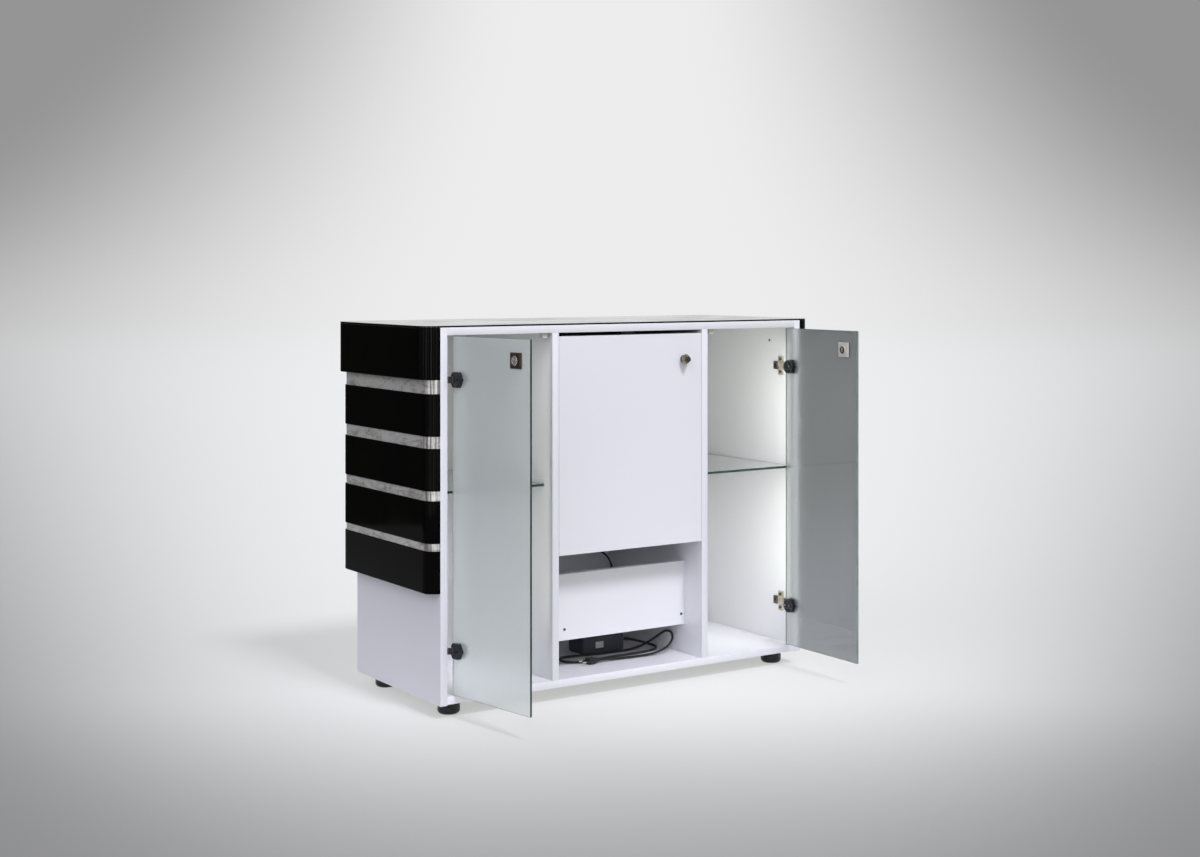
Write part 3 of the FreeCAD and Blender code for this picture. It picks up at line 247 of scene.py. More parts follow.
@cache
def uneven_group():
    """Slow and fine unevenness, for roughness and tone."""
    inputs = [("Vector", "Vector"), ("Slow Scale", "Float"), ("Fine Scale", "Float"), ("Low", "Float"),
              ("High", "Float")]
    group, given, made = new_group("Uneven surface", inputs, [("Value", "Float"), ("Mask", "Float")])
    slow = noise(group, given["Vector"], given["Slow Scale"])
    fine = noise(group, given["Vector"], given["Fine Scale"], detail=2.0)
    mask = map_range(group, math_node(group, "MULTIPLY_ADD", fine, 0.35, slow), 0.0, 1.0, 0.45, 0.95)
    feed(group, made, {"Mask": mask, "Value": map_range(group, mask, given["Low"], given["High"])})
    return group


@cache
def dust_group():
    """Dust that lies on what faces up, thicker in patches."""
    inputs = [("Vector", "Vector"), ("Normal", "Vector"), ("Amount", "Float")]
    group, given, made = new_group("Settled dust", inputs, [("Mask", "Float")])
    upward = map_range(group, turned_dot(group, given["Normal"], UP), 0.0, 1.0, 0.6, 0.95)
    patchy = map_range(group, noise(group, given["Vector"], 14.0, detail=5.0), 0.25, 1.0, 0.35, 0.7)
    lying = math_node(group, "MULTIPLY", upward, patchy)
    feed(group, made, {"Mask": math_node(group, "MULTIPLY", lying, given["Amount"])})
    return group


@cache
def grain_group():
    """Height of a fine moulded or peeled skin."""
    inputs = [("Vector", "Vector"), ("Scale", "Float"), ("Stretch", "Vector", (1, 1, 1))]
    group, given, made = new_group("Fine skin", inputs, [("Height", "Float")])
    stretched = vector_node(group, "MULTIPLY", given["Vector"], given["Stretch"])["Vector"]
    feed(group, made, {"Height": noise(group, stretched, given["Scale"], detail=2.0)})
    return group


class Finish:
    """A material with its Principled shader and the usual shared effects."""

    def __init__(self, name, base, **constants):
        self.material = bpy.data.materials.new(name)
        self.material.use_nodes = True
        self.tree = self.material.node_tree
        self.shader = self.tree.nodes["Principled BSDF"]
        self.base = tuple(base)
        self.place = self.tree.nodes.new("ShaderNodeTexCoord").outputs
        self.vector = self.place["Object"]
        self.set(Base_Color=self.base, **constants)

    def set(self, **values):
        """Feed the shader's inputs, with _ for a space in their names."""
        feed(self.tree, self.shader, {name.replace("_", " "): value for name, value in values.items()})

    def group(self, made, **values):
        inputs = {name.replace("_", " "): value for name, value in values.items()}
        return node(self.tree, "ShaderNodeGroup", {"Vector": self.vector, **inputs}, node_tree=made).outputs

    def uneven(self, low, high, slow, fine, drift=None):
        """Roughness between low and high, and a base colour that drifts with it."""
        made = self.group(uneven_group(), Low=low, High=high, Slow_Scale=slow, Fine_Scale=fine)
        self.set(Roughness=made["Value"])
        if drift:
            self.tone(made["Mask"], drift)

    def stretched(self, scale, axes, distortion):
        """Noise whose pattern is squeezed along each axis by axes."""
        mapping = node(self.tree, "ShaderNodeMapping", {"Vector": self.vector, "Scale": axes})
        return noise(self.tree, mapping.outputs["Vector"], scale, 4.0, 0.6, distortion)

    def tone(self, mask, other, share=1.0):
        """Base colour that drifts towards other where mask is high."""
        links = self.shader.inputs["Base Color"].links
        before = links[0].from_socket if links else self.base
        part = math_node(self.tree, "MULTIPLY", mask, share)
        self.set(Base_Color=mix_colour(self.tree, part, before, other))

    def dust(self, amount, tint):
        made = self.group(dust_group(), Amount=amount, Normal=self.place["Normal"])
        self.tone(made["Mask"], tint)

    def skin(self, scale, strength, distance=0.0002, stretch=(1, 1, 1)):
        made = self.group(grain_group(), Scale=scale, Stretch=stretch)
        self.bump(made["Height"], strength, distance)

    def bump(self, height, strength, distance):
        inputs = {"Strength": strength, "Distance": distance, "Height": height}
        self.set(Normal=node(self.tree, "ShaderNodeBump", inputs).outputs["Normal"])


# Finishes

STRIP_CORNER = 0.03


def melamine():
    finish = Finish("White melamine", colours().board, Specular_IOR_Level=0.4)
    finish.uneven(0.22, 0.26, slow=5.0, fine=420.0, drift=[value * 0.99 for value in colours().board])
    finish.skin(900.0, 0.05)
    return finish.material


def high_gloss():
    finish = Finish("Black high gloss", colours().band, Specular_IOR_Level=0.06)
    finish.uneven(0.035, 0.09, slow=7.0, fine=160.0, drift=(0.0028, 0.0027, 0.002))
    finish.dust(0.03, (0.16, 0.155, 0.15))
    finish.skin(40.0, 0.06, 0.0006)
    return finish.material


def gloss_top():
    finish = Finish("Black gloss top", colours().band, Specular_IOR_Level=0.4)
    finish.uneven(0.05, 0.14, slow=6.0, fine=160.0, drift=(0.004, 0.004, 0.0042))
    finish.skin(30.0, 0.05, 0.0006)
    return finish.material


def bright_foil():
    """Foil with painted reflections: a dark wisp pattern, pale glint patches as painted highlights, and dark
    upright lines round its front corner.
    """
    finish = Finish("Bright foil", colours().strip, Metallic=0.36)
    tree = finish.tree
    finish.uneven(0.08, 0.2, slow=24.0, fine=420.0)
    # Dark wisp pattern: painted reflection of a dim room; the same pattern also bumps the foil.
    wavy_bump_and_painted_reflection = finish.stretched(17.0, (1, 1, 3.2), 1.6)
    finish.tone(map_range(tree, wavy_bump_and_painted_reflection, 0.0, 1.0, 0.42, 0.76), (0.24, 0.22, 0.18), 0.8)
    # Pale glint patches: painted highlights.
    painted_glints = finish.stretched(34.0, (1, 1, 2.4), 1.2)
    finish.tone(map_range(tree, painted_glints, 0.0, 1.0, 0.54, 0.74), (0.95, 0.93, 0.88), 0.75)
    # Dark upright lines round the front corner: painted reflections.
    painted_streaks = map_range(tree, finish.stretched(190.0, (1, 1, 0.02), 0.0), 0.0, 1.0, 0.44, 0.58)
    ahead = turned_dot(tree, finish.vector, FRONTWARD)
    front = -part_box("chrome_strip_1")[0].y
    turned = map_range(tree, ahead, 0.12, 1.0, front - STRIP_CORNER * 1.6, front - STRIP_CORNER * 0.8)
    finish.tone(math_node(tree, "MULTIPLY", painted_streaks, turned), (0.16, 0.15, 0.13), 0.85)
    finish.bump(wavy_bump_and_painted_reflection, 0.4, 0.002)
    return finish.material


def frosted_glass():
    """The etched outer face of a pane."""
    finish = Finish("Frosted glass", colours().frosted, IOR=1.5, Transmission_Weight=0.55)
    finish.uneven(0.3, 0.38, slow=11.0, fine=500.0)
    finish.skin(700.0, 0.3, 0.0004)
    return finish.material


def smooth_glass():
    """The polished inner face of a pane."""
    finish = Finish("Smooth pane glass", (1.0, 1.0, 1.0), IOR=1.5, Transmission_Weight=1.0)
    finish.uneven(0.0, 0.015, slow=9.0, fine=90.0)
    return finish.material


def clear_glass():
    finish = Finish("Clear glass", colours().clear, IOR=1.5, Transmission_Weight=1.0)
    finish.uneven(0.0, 0.03, slow=12.0, fine=90.0)
    return finish.material


def glass_edge(name, base, drift):
    finish = Finish(name, base, Specular_IOR_Level=0.12)
    finish.uneven(0.2, 0.35, slow=20.0, fine=300.0, drift=drift)
    return finish.material


def moulded_black():
    finish = Finish("Moulded black plastic", colours().moulded, Specular_IOR_Level=0.35)
    finish.uneven(0.26, 0.4, slow=60.0, fine=900.0, drift=(0.014, 0.015, 0.02))
    finish.dust(0.04, (0.16, 0.16, 0.16))
    finish.skin(1500.0, 0.2)
    return finish.material


def plated(name, base, drift, low, high):
    finish = Finish(name, base, Metallic=0.8)
    finish.uneven(low, high, slow=70.0, fine=900.0, drift=drift)
    finish.skin(1400.0, 0.12, stretch=(1, 1, 6))
    return finish.material


def moulded_pale(name, base, drift):
    finish = Finish(name, base, Specular_IOR_Level=0.45)
    finish.uneven(0.38, 0.55, slow=60.0, fine=900.0, drift=drift)
    finish.skin(1600.0, 0.15)
    return finish.material


def sheath():
    finish = Finish("Black cord sheath", colours().lead, Specular_IOR_Level=0.4)
    finish.uneven(0.38, 0.55, slow=40.0, fine=700.0, drift=(0.024, 0.023, 0.022))
    finish.dust(0.25, (0.12, 0.115, 0.11))
    finish.skin(1300.0, 0.2)
    return finish.material


def housing():
    finish = Finish("Blue grey housing", colours().supply, Specular_IOR_Level=0.45)
    finish.uneven(0.42, 0.6, slow=40.0, fine=900.0, drift=(0.07, 0.073, 0.09))
    finish.dust(0.3, (0.2, 0.2, 0.2))
    finish.skin(1100.0, 0.35, 0.0003)
    return finish.material


def beech():
    finish = Finish("Beech dowel", (0.5, 0.34, 0.19), Specular_IOR_Level=0.3)
    finish.uneven(0.5, 0.65, slow=80.0, fine=900.0, drift=(0.38, 0.25, 0.13))
    finish.skin(900.0, 0.2, stretch=(0.15, 1, 1))
    return finish.material


FINISHES = {
    "melamine": melamine,
    "high gloss": high_gloss,
    "gloss top": gloss_top,
    "bright foil": bright_foil,
    "frosted glass": frosted_glass,
    "smooth glass": smooth_glass,
    "clear glass": clear_glass,
    "glass edge": lambda: glass_edge("Green glass edge", colours().glass_edge, (0.04, 0.064, 0.058)),
    "pale edge": lambda: glass_edge("Pale glass edge", colours().pale_edge, (0.26, 0.33, 0.315)),
    "moulded black": moulded_black,
    "nickel": lambda: plated("Nickel plate", colours().nickel, (0.42, 0.34, 0.24), 0.14, 0.34),
    "polished nickel": lambda: plated("Polished nickel", (0.86, 0.84, 0.8), (0.6, 0.57, 0.51), 0.1, 0.24),
    "screw steel": lambda: plated("Dark screw steel", colours().screw, (0.08, 0.075, 0.07), 0.3, 0.5),
    "bronze": lambda: plated("Dark bronze", colours().bronze, (0.12, 0.1, 0.075), 0.3, 0.5),
    "old brass": lambda: plated("Old brass", colours().brass, (0.17, 0.145, 0.105), 0.12, 0.32),
    # Dark knob end: painted reflection of a dim room in its polished face.
    "dark end": lambda: plated("Dark knob end", colours().knob_end, (0.1, 0.1, 0.095), 0.25, 0.45),
    "ivory": lambda: moulded_pale("Ivory plastic", colours().ivory, (0.62, 0.58, 0.5)),
    "opal": lambda: moulded_pale("Opal plastic", colours().opal, (0.72, 0.72, 0.68)),
    "patch": lambda: moulded_pale("Blank patch", colours().patch, (0.6, 0.6, 0.61)),
    "sheath": sheath,
    "housing": housing,
    "beech": beech,
}


@cache
def finish_of(name):
    return FINISHES[name]()


def dress(finish, *names):
    """Give CAD nodes a finish through their material slots."""
    for name in names:
        thing = NODES[name]
        if not thing.material_slots:
            thing.data.materials.append(finish_of(finish))
        for place in thing.material_slots:
            place.material = finish_of(finish)


# Mesh helpers

MERGE_DISTANCE = 1e-6
EASED_STEPS = 2
SMOOTH_ANGLE = math.radians(35)
GLASS_SMOOTH_ANGLE = math.radians(20)
GLASS_FLAT_ANGLE = math.radians(0.5)
GLASS_EDGE_ANGLE = math.radians(60)
GLASS_FACING = 0.95


def put(name, data):
    """A new object in the scene."""
    made = bpy.data.objects.new(name, data)
    bpy.context.scene.collection.objects.link(made)
    return made


def belong(piece, body):
    """Make an object a piece of the cabinet."""
    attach(piece, body)
    return piece


def add_piece(name, bm, body, slot, *finishes, smooth=SMOOTH_ANGLE):
    """Finish a mesh and put it in the scene as a piece of the cabinet."""
    bmesh.ops.remove_doubles(bm, verts=bm.verts, dist=MERGE_DISTANCE)
    bmesh.ops.recalc_face_normals(bm, faces=bm.faces)
    mesh = bpy.data.meshes.new(name)
    bm.to_mesh(mesh)
    bm.free()
    for face in mesh.polygons:
        face.use_smooth = True
    mesh.set_sharp_from_angle(angle=smooth)
    for finish in finishes:
        mesh.materials.append(finish_of(finish))
    return belong(put(name, mesh), body)


def along(origin, direction):
    """Where local Z runs from origin along direction."""
    return Matrix.Translation(origin) @ Vector(direction).to_track_quat("Z", "Y").to_matrix().to_4x4()


def angles(steps):
    return [2 * math.pi * step / steps for step in range(steps)]


def ring(bm, place, radius, height, steps):
    """Points round local Z, or one point where there is no radius."""
    if radius == 0:
        return [bm.verts.new(place @ Vector((0, 0, height)))]
    spots = [(radius * math.cos(angle), radius * math.sin(angle), height) for angle in angles(steps)]
    return [bm.verts.new(place @ Vector(spot)) for spot in spots]


def loft(bm, rings, finish=0, capped=False):
    """Faces between each ring and the next, which may be a single point."""
    steps = max(len(points) for points in rings)
    for lower, upper in zip(rings, rings[1:]):
        for step in range(steps):
            after = (step + 1) % steps
            corners = [lower[step % len(lower)], lower[after % len(lower)], upper[after % len(upper)],
                       upper[step % len(upper)]]
            unique = list(dict.fromkeys(corners))
            if len(unique) > 2:
                bm.faces.new(unique).material_index = finish
    if capped:
        bm.faces.new(rings[0][::-1])
        bm.faces.new(rings[-1])


def turn(bm, profile, place, steps=None, finish=0):
    """A turned shape through (radius, height) points round local Z."""
    steps = steps or sizes().turn_steps
    loft(bm, [ring(bm, place, radius, height, steps) for radius, height in profile], finish)


def slab(bm, low, high, place=None, chamfer=0.0, finish=0):
    """A box between two corners with eased edges."""
    made = bmesh.ops.create_cube(bm, size=1.0)["verts"]
    middle = (Vector(low) + Vector(high)) / 2
    span = Vector(high) - Vector(low)
    for vert in made:
        vert.co = Vector((vert.co.x * span.x, vert.co.y * span.y, vert.co.z * span.z)) + middle
    faces = {face for vert in made for face in vert.link_faces}
    if chamfer > 0:
        edges = list({edge for vert in made for edge in vert.link_edges})
        eased = bmesh.ops.bevel(bm, geom=edges, offset=chamfer, segments=EASED_STEPS, affect="EDGES",
                                profile=0.5, clamp_overlap=True)
        faces = {face for face in faces if face.is_valid} | set(eased["faces"])
    for face in faces:
        face.material_index = finish
    if place is not None:
        verts = {vert for face in faces for vert in face.verts}
        bmesh.ops.transform(bm, matrix=place, verts=list(verts))


def inner_face(side):
    """How far out a side panel's inner face lies."""
    low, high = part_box(f"{side}_side_panel")
    return high.x if side == "left" else low.x


def door_place(side):
    """A door's own frame: X to its free edge, Y from its outer to its inner face, Z up."""
    joint = JOINTS[f"{side}_door_hinge"]
    opened = -math.radians(joint["range_deg"][0])
    free = Vector((math.cos(opened), -math.sin(opened), 0))
    inner = Vector((math.sin(opened), math.cos(opened), 0))
    if side == "right":
        free.x = -free.x
        inner.x = -inner.x
    place = Matrix((free, inner, UP)).transposed().to_4x4()
    place.translation = (joint["pos_m"][0], joint["pos_m"][1], 0)
    return place


def door_inner(place):
    """The way a door's inner face looks."""
    return place.to_3x3() @ BACKWARD


def own_box(name, place):
    """A CAD node's lowest and highest corner in another frame."""
    back = place.inverted()
    corners = [back @ vert.co for vert in NODES[name].data.vertices]
    low = Vector([min(corner[axis] for corner in corners) for axis in range(3)])
    high = Vector([max(corner[axis] for corner in corners) for axis in range(3)])
    return low, high


def cut_glass(source, flat, finishes, name, body, slot):
    """A copy of a glass node with ground edges; the finishes are for the face away from flat, the face that
    looks along flat and the edges."""
    bm = bmesh.new()
    bm.from_mesh(NODES[source].data)
    bmesh.ops.remove_doubles(bm, verts=bm.verts, dist=MERGE_DISTANCE)
    bmesh.ops.dissolve_limit(bm, angle_limit=GLASS_FLAT_ANGLE, verts=bm.verts, edges=bm.edges)
    sharp = [edge for edge in bm.edges if edge.is_manifold and edge.calc_face_angle() > GLASS_EDGE_ANGLE]
    bmesh.ops.bevel(bm, geom=sharp, offset=sizes().glass_chamfer, segments=1, affect="EDGES",
                    clamp_overlap=True)
    bm.normal_update()
    for face in bm.faces:
        facing = face.normal.dot(flat)
        face.material_index = 2 if abs(facing) < GLASS_FACING else int(facing > 0)
    piece = add_piece(name, bm, body, slot, *finishes, smooth=GLASS_SMOOTH_ANGLE)
    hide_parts(source)


SENSOR_WIDTH = 36


class CABINET_OT_camera(Operator):
    """Place the camera where the photograph was taken"""
    bl_idname = "cabinet.camera"
    bl_label = "Camera"

    def execute(self, context):
        looks = stage_looks()
        data = bpy.data.cameras.new("Camera")
        data.sensor_fit = "HORIZONTAL"
        data.sensor_width = SENSOR_WIDTH
        data.lens = looks.lens
        data.shift_y = looks.rise
        camera = put("Camera", data)
        camera.location = looks.eye
        camera.rotation_euler = (math.pi / 2, 0, -looks.heading)
        context.scene.camera = camera
        return {"FINISHED"}


# Leads

# Inner lower left front corner of the niche, to the micrometre
NICHE_CORNER = Vector((
    round(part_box("left_divider")[1].x, 6),
    round(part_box("left_side_panel")[0].y, 6),
    round(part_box("bottom_board")[1].z, 6),
))
# Points given, measured from that corner
MAINS_ROUTE = (
    (0.322, 0.226, 0.022), (0.350, 0.226, 0.020), (0.381, 0.222, 0.012), (0.403, 0.200, 0.005),
    (0.405, 0.165, 0.004), (0.384, 0.138, 0.004), (0.347, 0.128, 0.004), (0.289, 0.124, 0.004),
    (0.229, 0.126, 0.004), (0.180, 0.121, 0.004), (0.140, 0.119, 0.004), (0.119, 0.126, 0.004),
    (0.107, 0.143, 0.004), (0.107, 0.165, 0.004), (0.119, 0.182, 0.004), (0.140, 0.189, 0.004),
    (0.178, 0.182, 0.004), (0.219, 0.173, 0.004), (0.274, 0.170, 0.004), (0.329, 0.168, 0.004),
    (0.377, 0.174, 0.012), (0.410, 0.168, 0.030), (0.422, 0.150, 0.046), (0.424, 0.124, 0.047),
    (0.412, 0.102, 0.032), (0.385, 0.092, 0.015), (0.345, 0.090, 0.005), (0.285, 0.095, 0.004),
    (0.230, 0.100, 0.004), (0.186, 0.101, 0.008),
)
MAINS_DIAMETER = 0.006
SUPPLY_ROUTE = (
    (0.262, 0.405, 0.296), (0.263, 0.405, 0.274), (0.274, 0.404, 0.255), (0.302, 0.402, 0.244),
    (0.340, 0.399, 0.238), (0.376, 0.394, 0.228), (0.400, 0.382, 0.208), (0.404, 0.366, 0.182),
    (0.394, 0.348, 0.156), (0.372, 0.328, 0.132), (0.346, 0.308, 0.112), (0.320, 0.288, 0.094),
    (0.298, 0.268, 0.082), (0.284, 0.252, 0.066), (0.281, 0.247, 0.044),
)
SUPPLY_DIAMETER = 0.005
BOOT_RIBS = 6
BOOT_STEPS = 24
BOOT_GROOVE = 0.12
BOOT_RIBBED = (0.08, 0.95)
BOOT_RIB_RINGS = 4
MAINS_BOOT_WALL = 0.0004
BOOT_WALL = 0.0003
PLUG_BOOT_LENGTH = 0.022
PLUG_BOOT_RADIUS = 0.0046
SUPPLY_BOOT_LENGTH = 0.02
SUPPLY_BOOT_RADIUS = 0.0048


def in_niche(route):
    return [NICHE_CORNER + Vector(point) for point in route]


def lead_curve(name, points, diameter):
    """A smooth round lead with the route's points as its control points."""
    curve = bpy.data.curves.new(name, "CURVE")
    curve.dimensions = "3D"
    spline = curve.splines.new("NURBS")
    spline.points.add(len(points) - 1)
    for control, point in zip(spline.points, points):
        control.co = (*point, 1)
    spline.order_u = 3
    spline.use_endpoint_u = True
    spline.resolution_u = 10
    curve.bevel_depth = diameter / 2
    curve.bevel_resolution = 4
    curve.use_fill_caps = True
    curve.materials.append(finish_of("sheath"))
    return belong(put(name, curve), CARCASS)


def plain_mesh(thing):
    """What an object looks like with its modifiers and curves worked out."""
    bpy.context.view_layer.update()
    return bpy.data.meshes.new_from_object(thing.evaluated_get(bpy.context.evaluated_depsgraph_get()))


def centreline(lead):
    """Points along a lead's own smooth line."""
    bare = lead.data.copy()
    bare.bevel_depth = 0
    holder = put("bare_line", bare)
    mesh = plain_mesh(holder)
    points = [vert.co.copy() for vert in mesh.vertices]
    bpy.data.objects.remove(holder)
    bpy.data.curves.remove(bare)
    bpy.data.meshes.remove(mesh)
    return points


def boot(name, line, reach, thick, thin):
    """A ribbed strain relief that tapers along the first stretch of a line."""
    travelled = 0.0
    stations = [(line[0], line[1] - line[0], travelled)]
    for before, after in zip(line, line[1:]):
        travelled += (after - before).length
        stations.append((after, after - before, travelled))
        if travelled >= reach:
            break
    bm = bmesh.new()
    rings = []
    count = BOOT_RIBS * BOOT_RIB_RINGS
    for number in range(count + 1):
        share = number / count
        want = share * travelled
        near = next(index for index, station in enumerate(stations) if station[2] >= want - 1e-9)
        spot, way, passed = stations[near]
        last_spot, last_way, last_passed = stations[max(near - 1, 0)]
        gap = passed - last_passed
        blend = (want - last_passed) / gap if gap > 0 else 0.0
        place = along(last_spot.lerp(spot, blend), last_way.normalized().lerp(way.normalized(), blend))
        grooved = number % BOOT_RIB_RINGS > 1 and BOOT_RIBBED[0] < share < BOOT_RIBBED[1]
        radius = (thick + (thin - thick) * share) * (1 - BOOT_GROOVE * grooved)
        rings.append(ring(bm, place, radius, 0, BOOT_STEPS))
    loft(bm, rings, capped=True)
    return add_piece(name, bm, CARCASS, "lead_rubber", "sheath")


# Share of the plug's length from the lead, then of its width and of its height
PLUG_SECTIONS = ((0.0, 0.25, 0.3), (0.06, 0.42, 0.5), (0.3, 0.62, 0.72), (0.55, 1.0, 0.98), (0.92, 1.0, 1.0),
                 (1.0, 0.92, 0.86))
PLUG_STEPS = 40
PLUG_PINS_REACH = 0.019
PLUG_PIN_RADIUS = 0.002
PLUG_PIN_OFFSET = 0.009
PLUG_PIN_TIP = 0.001
PLUG_PIN_STEPS = 20


def squared(value, power):
    """Swells a round section towards a square one."""
    return math.copysign(abs(value) ** power, value)


def plug_pin(bm, place):
    """A pin with its moulded sleeve; the finishes are sleeve and metal."""
    thick = PLUG_PIN_RADIUS
    thin = thick * 0.92
    sleeve = PLUG_PINS_REACH * 0.5
    turn(bm, ((0, 0), (thick, 0), (thick, sleeve), (0, sleeve)), place, PLUG_PIN_STEPS)
    shank = PLUG_PINS_REACH - PLUG_PIN_TIP
    metal = ((0, sleeve), (thin, sleeve), (thin, shank), (thin * 0.6, PLUG_PINS_REACH), (0, PLUG_PINS_REACH))
    turn(bm, metal, place, PLUG_PIN_STEPS, finish=1)


def flat_plug(name):
    """A flat two-pin plug, its body widening from the lead to the pins."""
    low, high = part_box("mains_plug")
    body_low = low.x + PLUG_PINS_REACH
    middle = (low + high) / 2
    half = (high - low) / 2
    bm = bmesh.new()
    rings = []
    for share, wide, tall in PLUG_SECTIONS:
        points = []
        for angle in angles(PLUG_STEPS):
            points.append(bm.verts.new((
                high.x - share * (high.x - body_low),
                middle.y + squared(math.cos(angle), 0.55) * wide * half.y,
                middle.z + squared(math.sin(angle), 0.7) * tall * half.z,
            )))
        rings.append(points)
    loft(bm, rings, capped=True)
    for offset in (-PLUG_PIN_OFFSET, PLUG_PIN_OFFSET):
        plug_pin(bm, along(Vector((body_low, middle.y + offset, middle.z)), (-1, 0, 0)))
    return add_piece(name, bm, CARCASS, "lead_rubber", "sheath", "polished nickel")


class CABINET_OT_leads(Operator):
    """Lay the mains lead with its plug and hang the lead from the lamp to the power supply"""
    bl_idname = "cabinet.leads"
    bl_label = "Leads"

    def execute(self, context):
        mains_points = in_niche(MAINS_ROUTE)
        mains = lead_curve("mains_cord", mains_points, MAINS_DIAMETER)
        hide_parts("mains_lead")
        line = centreline(mains)
        thin = MAINS_DIAMETER / 2
        relief = boot("mains_boot", line, sizes().boot_length, sizes().boot_radius, thin + MAINS_BOOT_WALL)
        plug = flat_plug("mains_flat_plug")
        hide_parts("mains_plug")
        plug_relief = boot("plug_boot", line[::-1], PLUG_BOOT_LENGTH, PLUG_BOOT_RADIUS, thin + BOOT_WALL)
        supply_points = in_niche(SUPPLY_ROUTE)
        supply = lead_curve("supply_cord", supply_points, SUPPLY_DIAMETER)
        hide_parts("supply_lead")
        thin = SUPPLY_DIAMETER / 2
        line = centreline(supply)
        relief = boot("supply_boot", line[::-1], SUPPLY_BOOT_LENGTH, SUPPLY_BOOT_RADIUS, thin + BOOT_WALL)
        dress("sheath", "lamp_lead", "grommet")
        dress("ivory", "lead_clips")
        return {"FINISHED"}


# Boards, bands and strips

LIPPED_BOARDS = ("left_side_panel", "right_side_panel", "left_divider", "right_divider", "bottom_board",
                 "top_board")
LIPPING_EASE = 0.8
OTHER_BOARDS = ("public_side_panel", "compartment_floor", "niche_cover_panel", "cover_cleat", "flap_panel")
SPARE_HOLE_SETBACK = 0.102
SPARE_HOLE_HEIGHT = 0.845
SPARE_HOLE_LIFT = 0.0001
SPARE_HOLE_RIM = 0.0003


def edge_banding():
    """Thin lipping on the boards' front edges."""
    bm = bmesh.new()
    thick = sizes().edge_band
    for name in LIPPED_BOARDS:
        low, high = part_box(name)
        slab(bm, (low.x, low.y - thick, low.z), (high.x, low.y, high.z), chamfer=thick * LIPPING_EASE)
    add_piece("edge_banding", bm, CARCASS, "white_board", "melamine")


def spare_pin_hole():
    """A flat black disc for a shelf pin hole, high on the right side panel: painted shade of the hole."""
    bm = bmesh.new()
    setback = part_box("right_side_panel")[0].y + SPARE_HOLE_SETBACK
    place = along(Vector((inner_face("right"), setback, SPARE_HOLE_HEIGHT)), INWARD["right"])
    radius = sizes().pin_hole
    profile = ((0, SPARE_HOLE_LIFT), (radius, SPARE_HOLE_LIFT), (radius * 1.25, SPARE_HOLE_RIM),
               (radius * 1.35, SPARE_HOLE_LIFT))
    turn(bm, profile, place, steps=24)
    add_piece("spare_pin_hole", bm, CARCASS, "screw_steel", "moulded black")


class CABINET_OT_boards(Operator):
    """Finish the white boards, lip their front edges and add a black disc as a spare pin hole's painted shade
    """
    bl_idname = "cabinet.boards"
    bl_label = "Boards"

    def execute(self, context):
        dress("melamine", *LIPPED_BOARDS, *OTHER_BOARDS)
        dress("beech", "board_dowels")
        edge_banding()
        spare_pin_hole()
        return {"FINISHED"}


class CABINET_OT_bands(Operator):
    """Finish the black top and bands and the bright strips between them"""
    bl_idname = "cabinet.bands"
    bl_label = "Bands and strips"

    def execute(self, context):
        dress("gloss top", "top_plate")
        dress("high gloss", "top_band", *[f"band_{number}" for number in range(2, 6)])
        dress("bright foil", *[f"chrome_strip_{number}" for number in range(1, 5)])
        return {"FINISHED"}


# Glass doors, shelves and their fittings

HINGE_SCREW_SPREAD = 0.017
HINGE_SCREW_RADIUS = 0.0038
HINGE_PLATE_RISE = 0.004
HINGE_REACH = HINGE_SCREW_SPREAD + HINGE_SCREW_RADIUS
HINGE_LEVELS = (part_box("hinge_screws")[0].z + HINGE_REACH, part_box("hinge_screws")[1].z - HINGE_REACH)
FINE_EASE = 0.0003
TAIL_EASE = 0.0008
PAD_SINK = 0.0004
PAD_RISE = 0.0008
TAIL_SCREW_RIM = 0.0012
TAIL_SCREW_TOP = 0.0018


def lock_barrel(bm, place, rise, barrel):
    """A ring round a barrel with a key slot drawn as a raised bar; finishes are ring, barrel and slot."""
    outer = sizes().lock_ring
    well = barrel * 1.08
    rim = ((outer, 0), (outer, rise * 0.5), (outer * 0.94, rise), (barrel * 1.22, rise), (well, rise * 0.55),
           (well, 0))
    turn(bm, rim, place, finish=0)
    core = ((well, rise * 0.4), (barrel, rise * 0.7), (barrel * 0.9, rise * 0.8), (0, rise * 0.8))
    turn(bm, core, place, finish=1)
    wide = barrel * 0.16
    tall = barrel * 0.62
    slab(bm, (-wide, -tall, rise * 0.75), (wide, tall, rise * 0.86), place, chamfer=0.0001, finish=2)


class CABINET_OT_doors(Operator):
    """Make the frosted glass doors with their ground edges and locks"""
    bl_idname = "cabinet.doors"
    bl_label = "Glass doors"

    def execute(self, context):
        # The outer lock's slot is black: painted shade of its keyway.
        outer = ("outer", -1, sizes().lock_barrel, ("polished nickel", "nickel", "moulded black"))
        within = ("inner", 1, sizes().inner_barrel, ("ivory", "bronze", "polished nickel"))
        # The right pane's edges take the pale copy of the green edge finish: painted light shining through
        # them.
        for side, edge in zip(SIDES, ("glass edge", "pale edge")):
            place = door_place(side)
            body = f"{side}_door"
            inner = door_inner(place)
            faces = ("frosted glass", "smooth glass", edge)
            cut_glass(f"{side}_door_glass", inner, faces, f"{side}_pane", body, "frosted_glass")
            dress("bronze", f"{side}_outer_plate")
            dress("ivory", f"{side}_inner_plate")
            for plate, facing, barrel, finishes in (outer, within):
                low, high = own_box(f"{side}_{plate}_plate", place)
                spot = (low + high) / 2
                spot.y = low.y if facing < 0 else high.y
                bm = bmesh.new()
                lock_barrel(bm, along(place @ spot, inner * facing), sizes().lock_rise, barrel)
                add_piece(f"{side}_{plate}_lock", bm, body, "nickel_steel", *finishes)
        return {"FINISHED"}


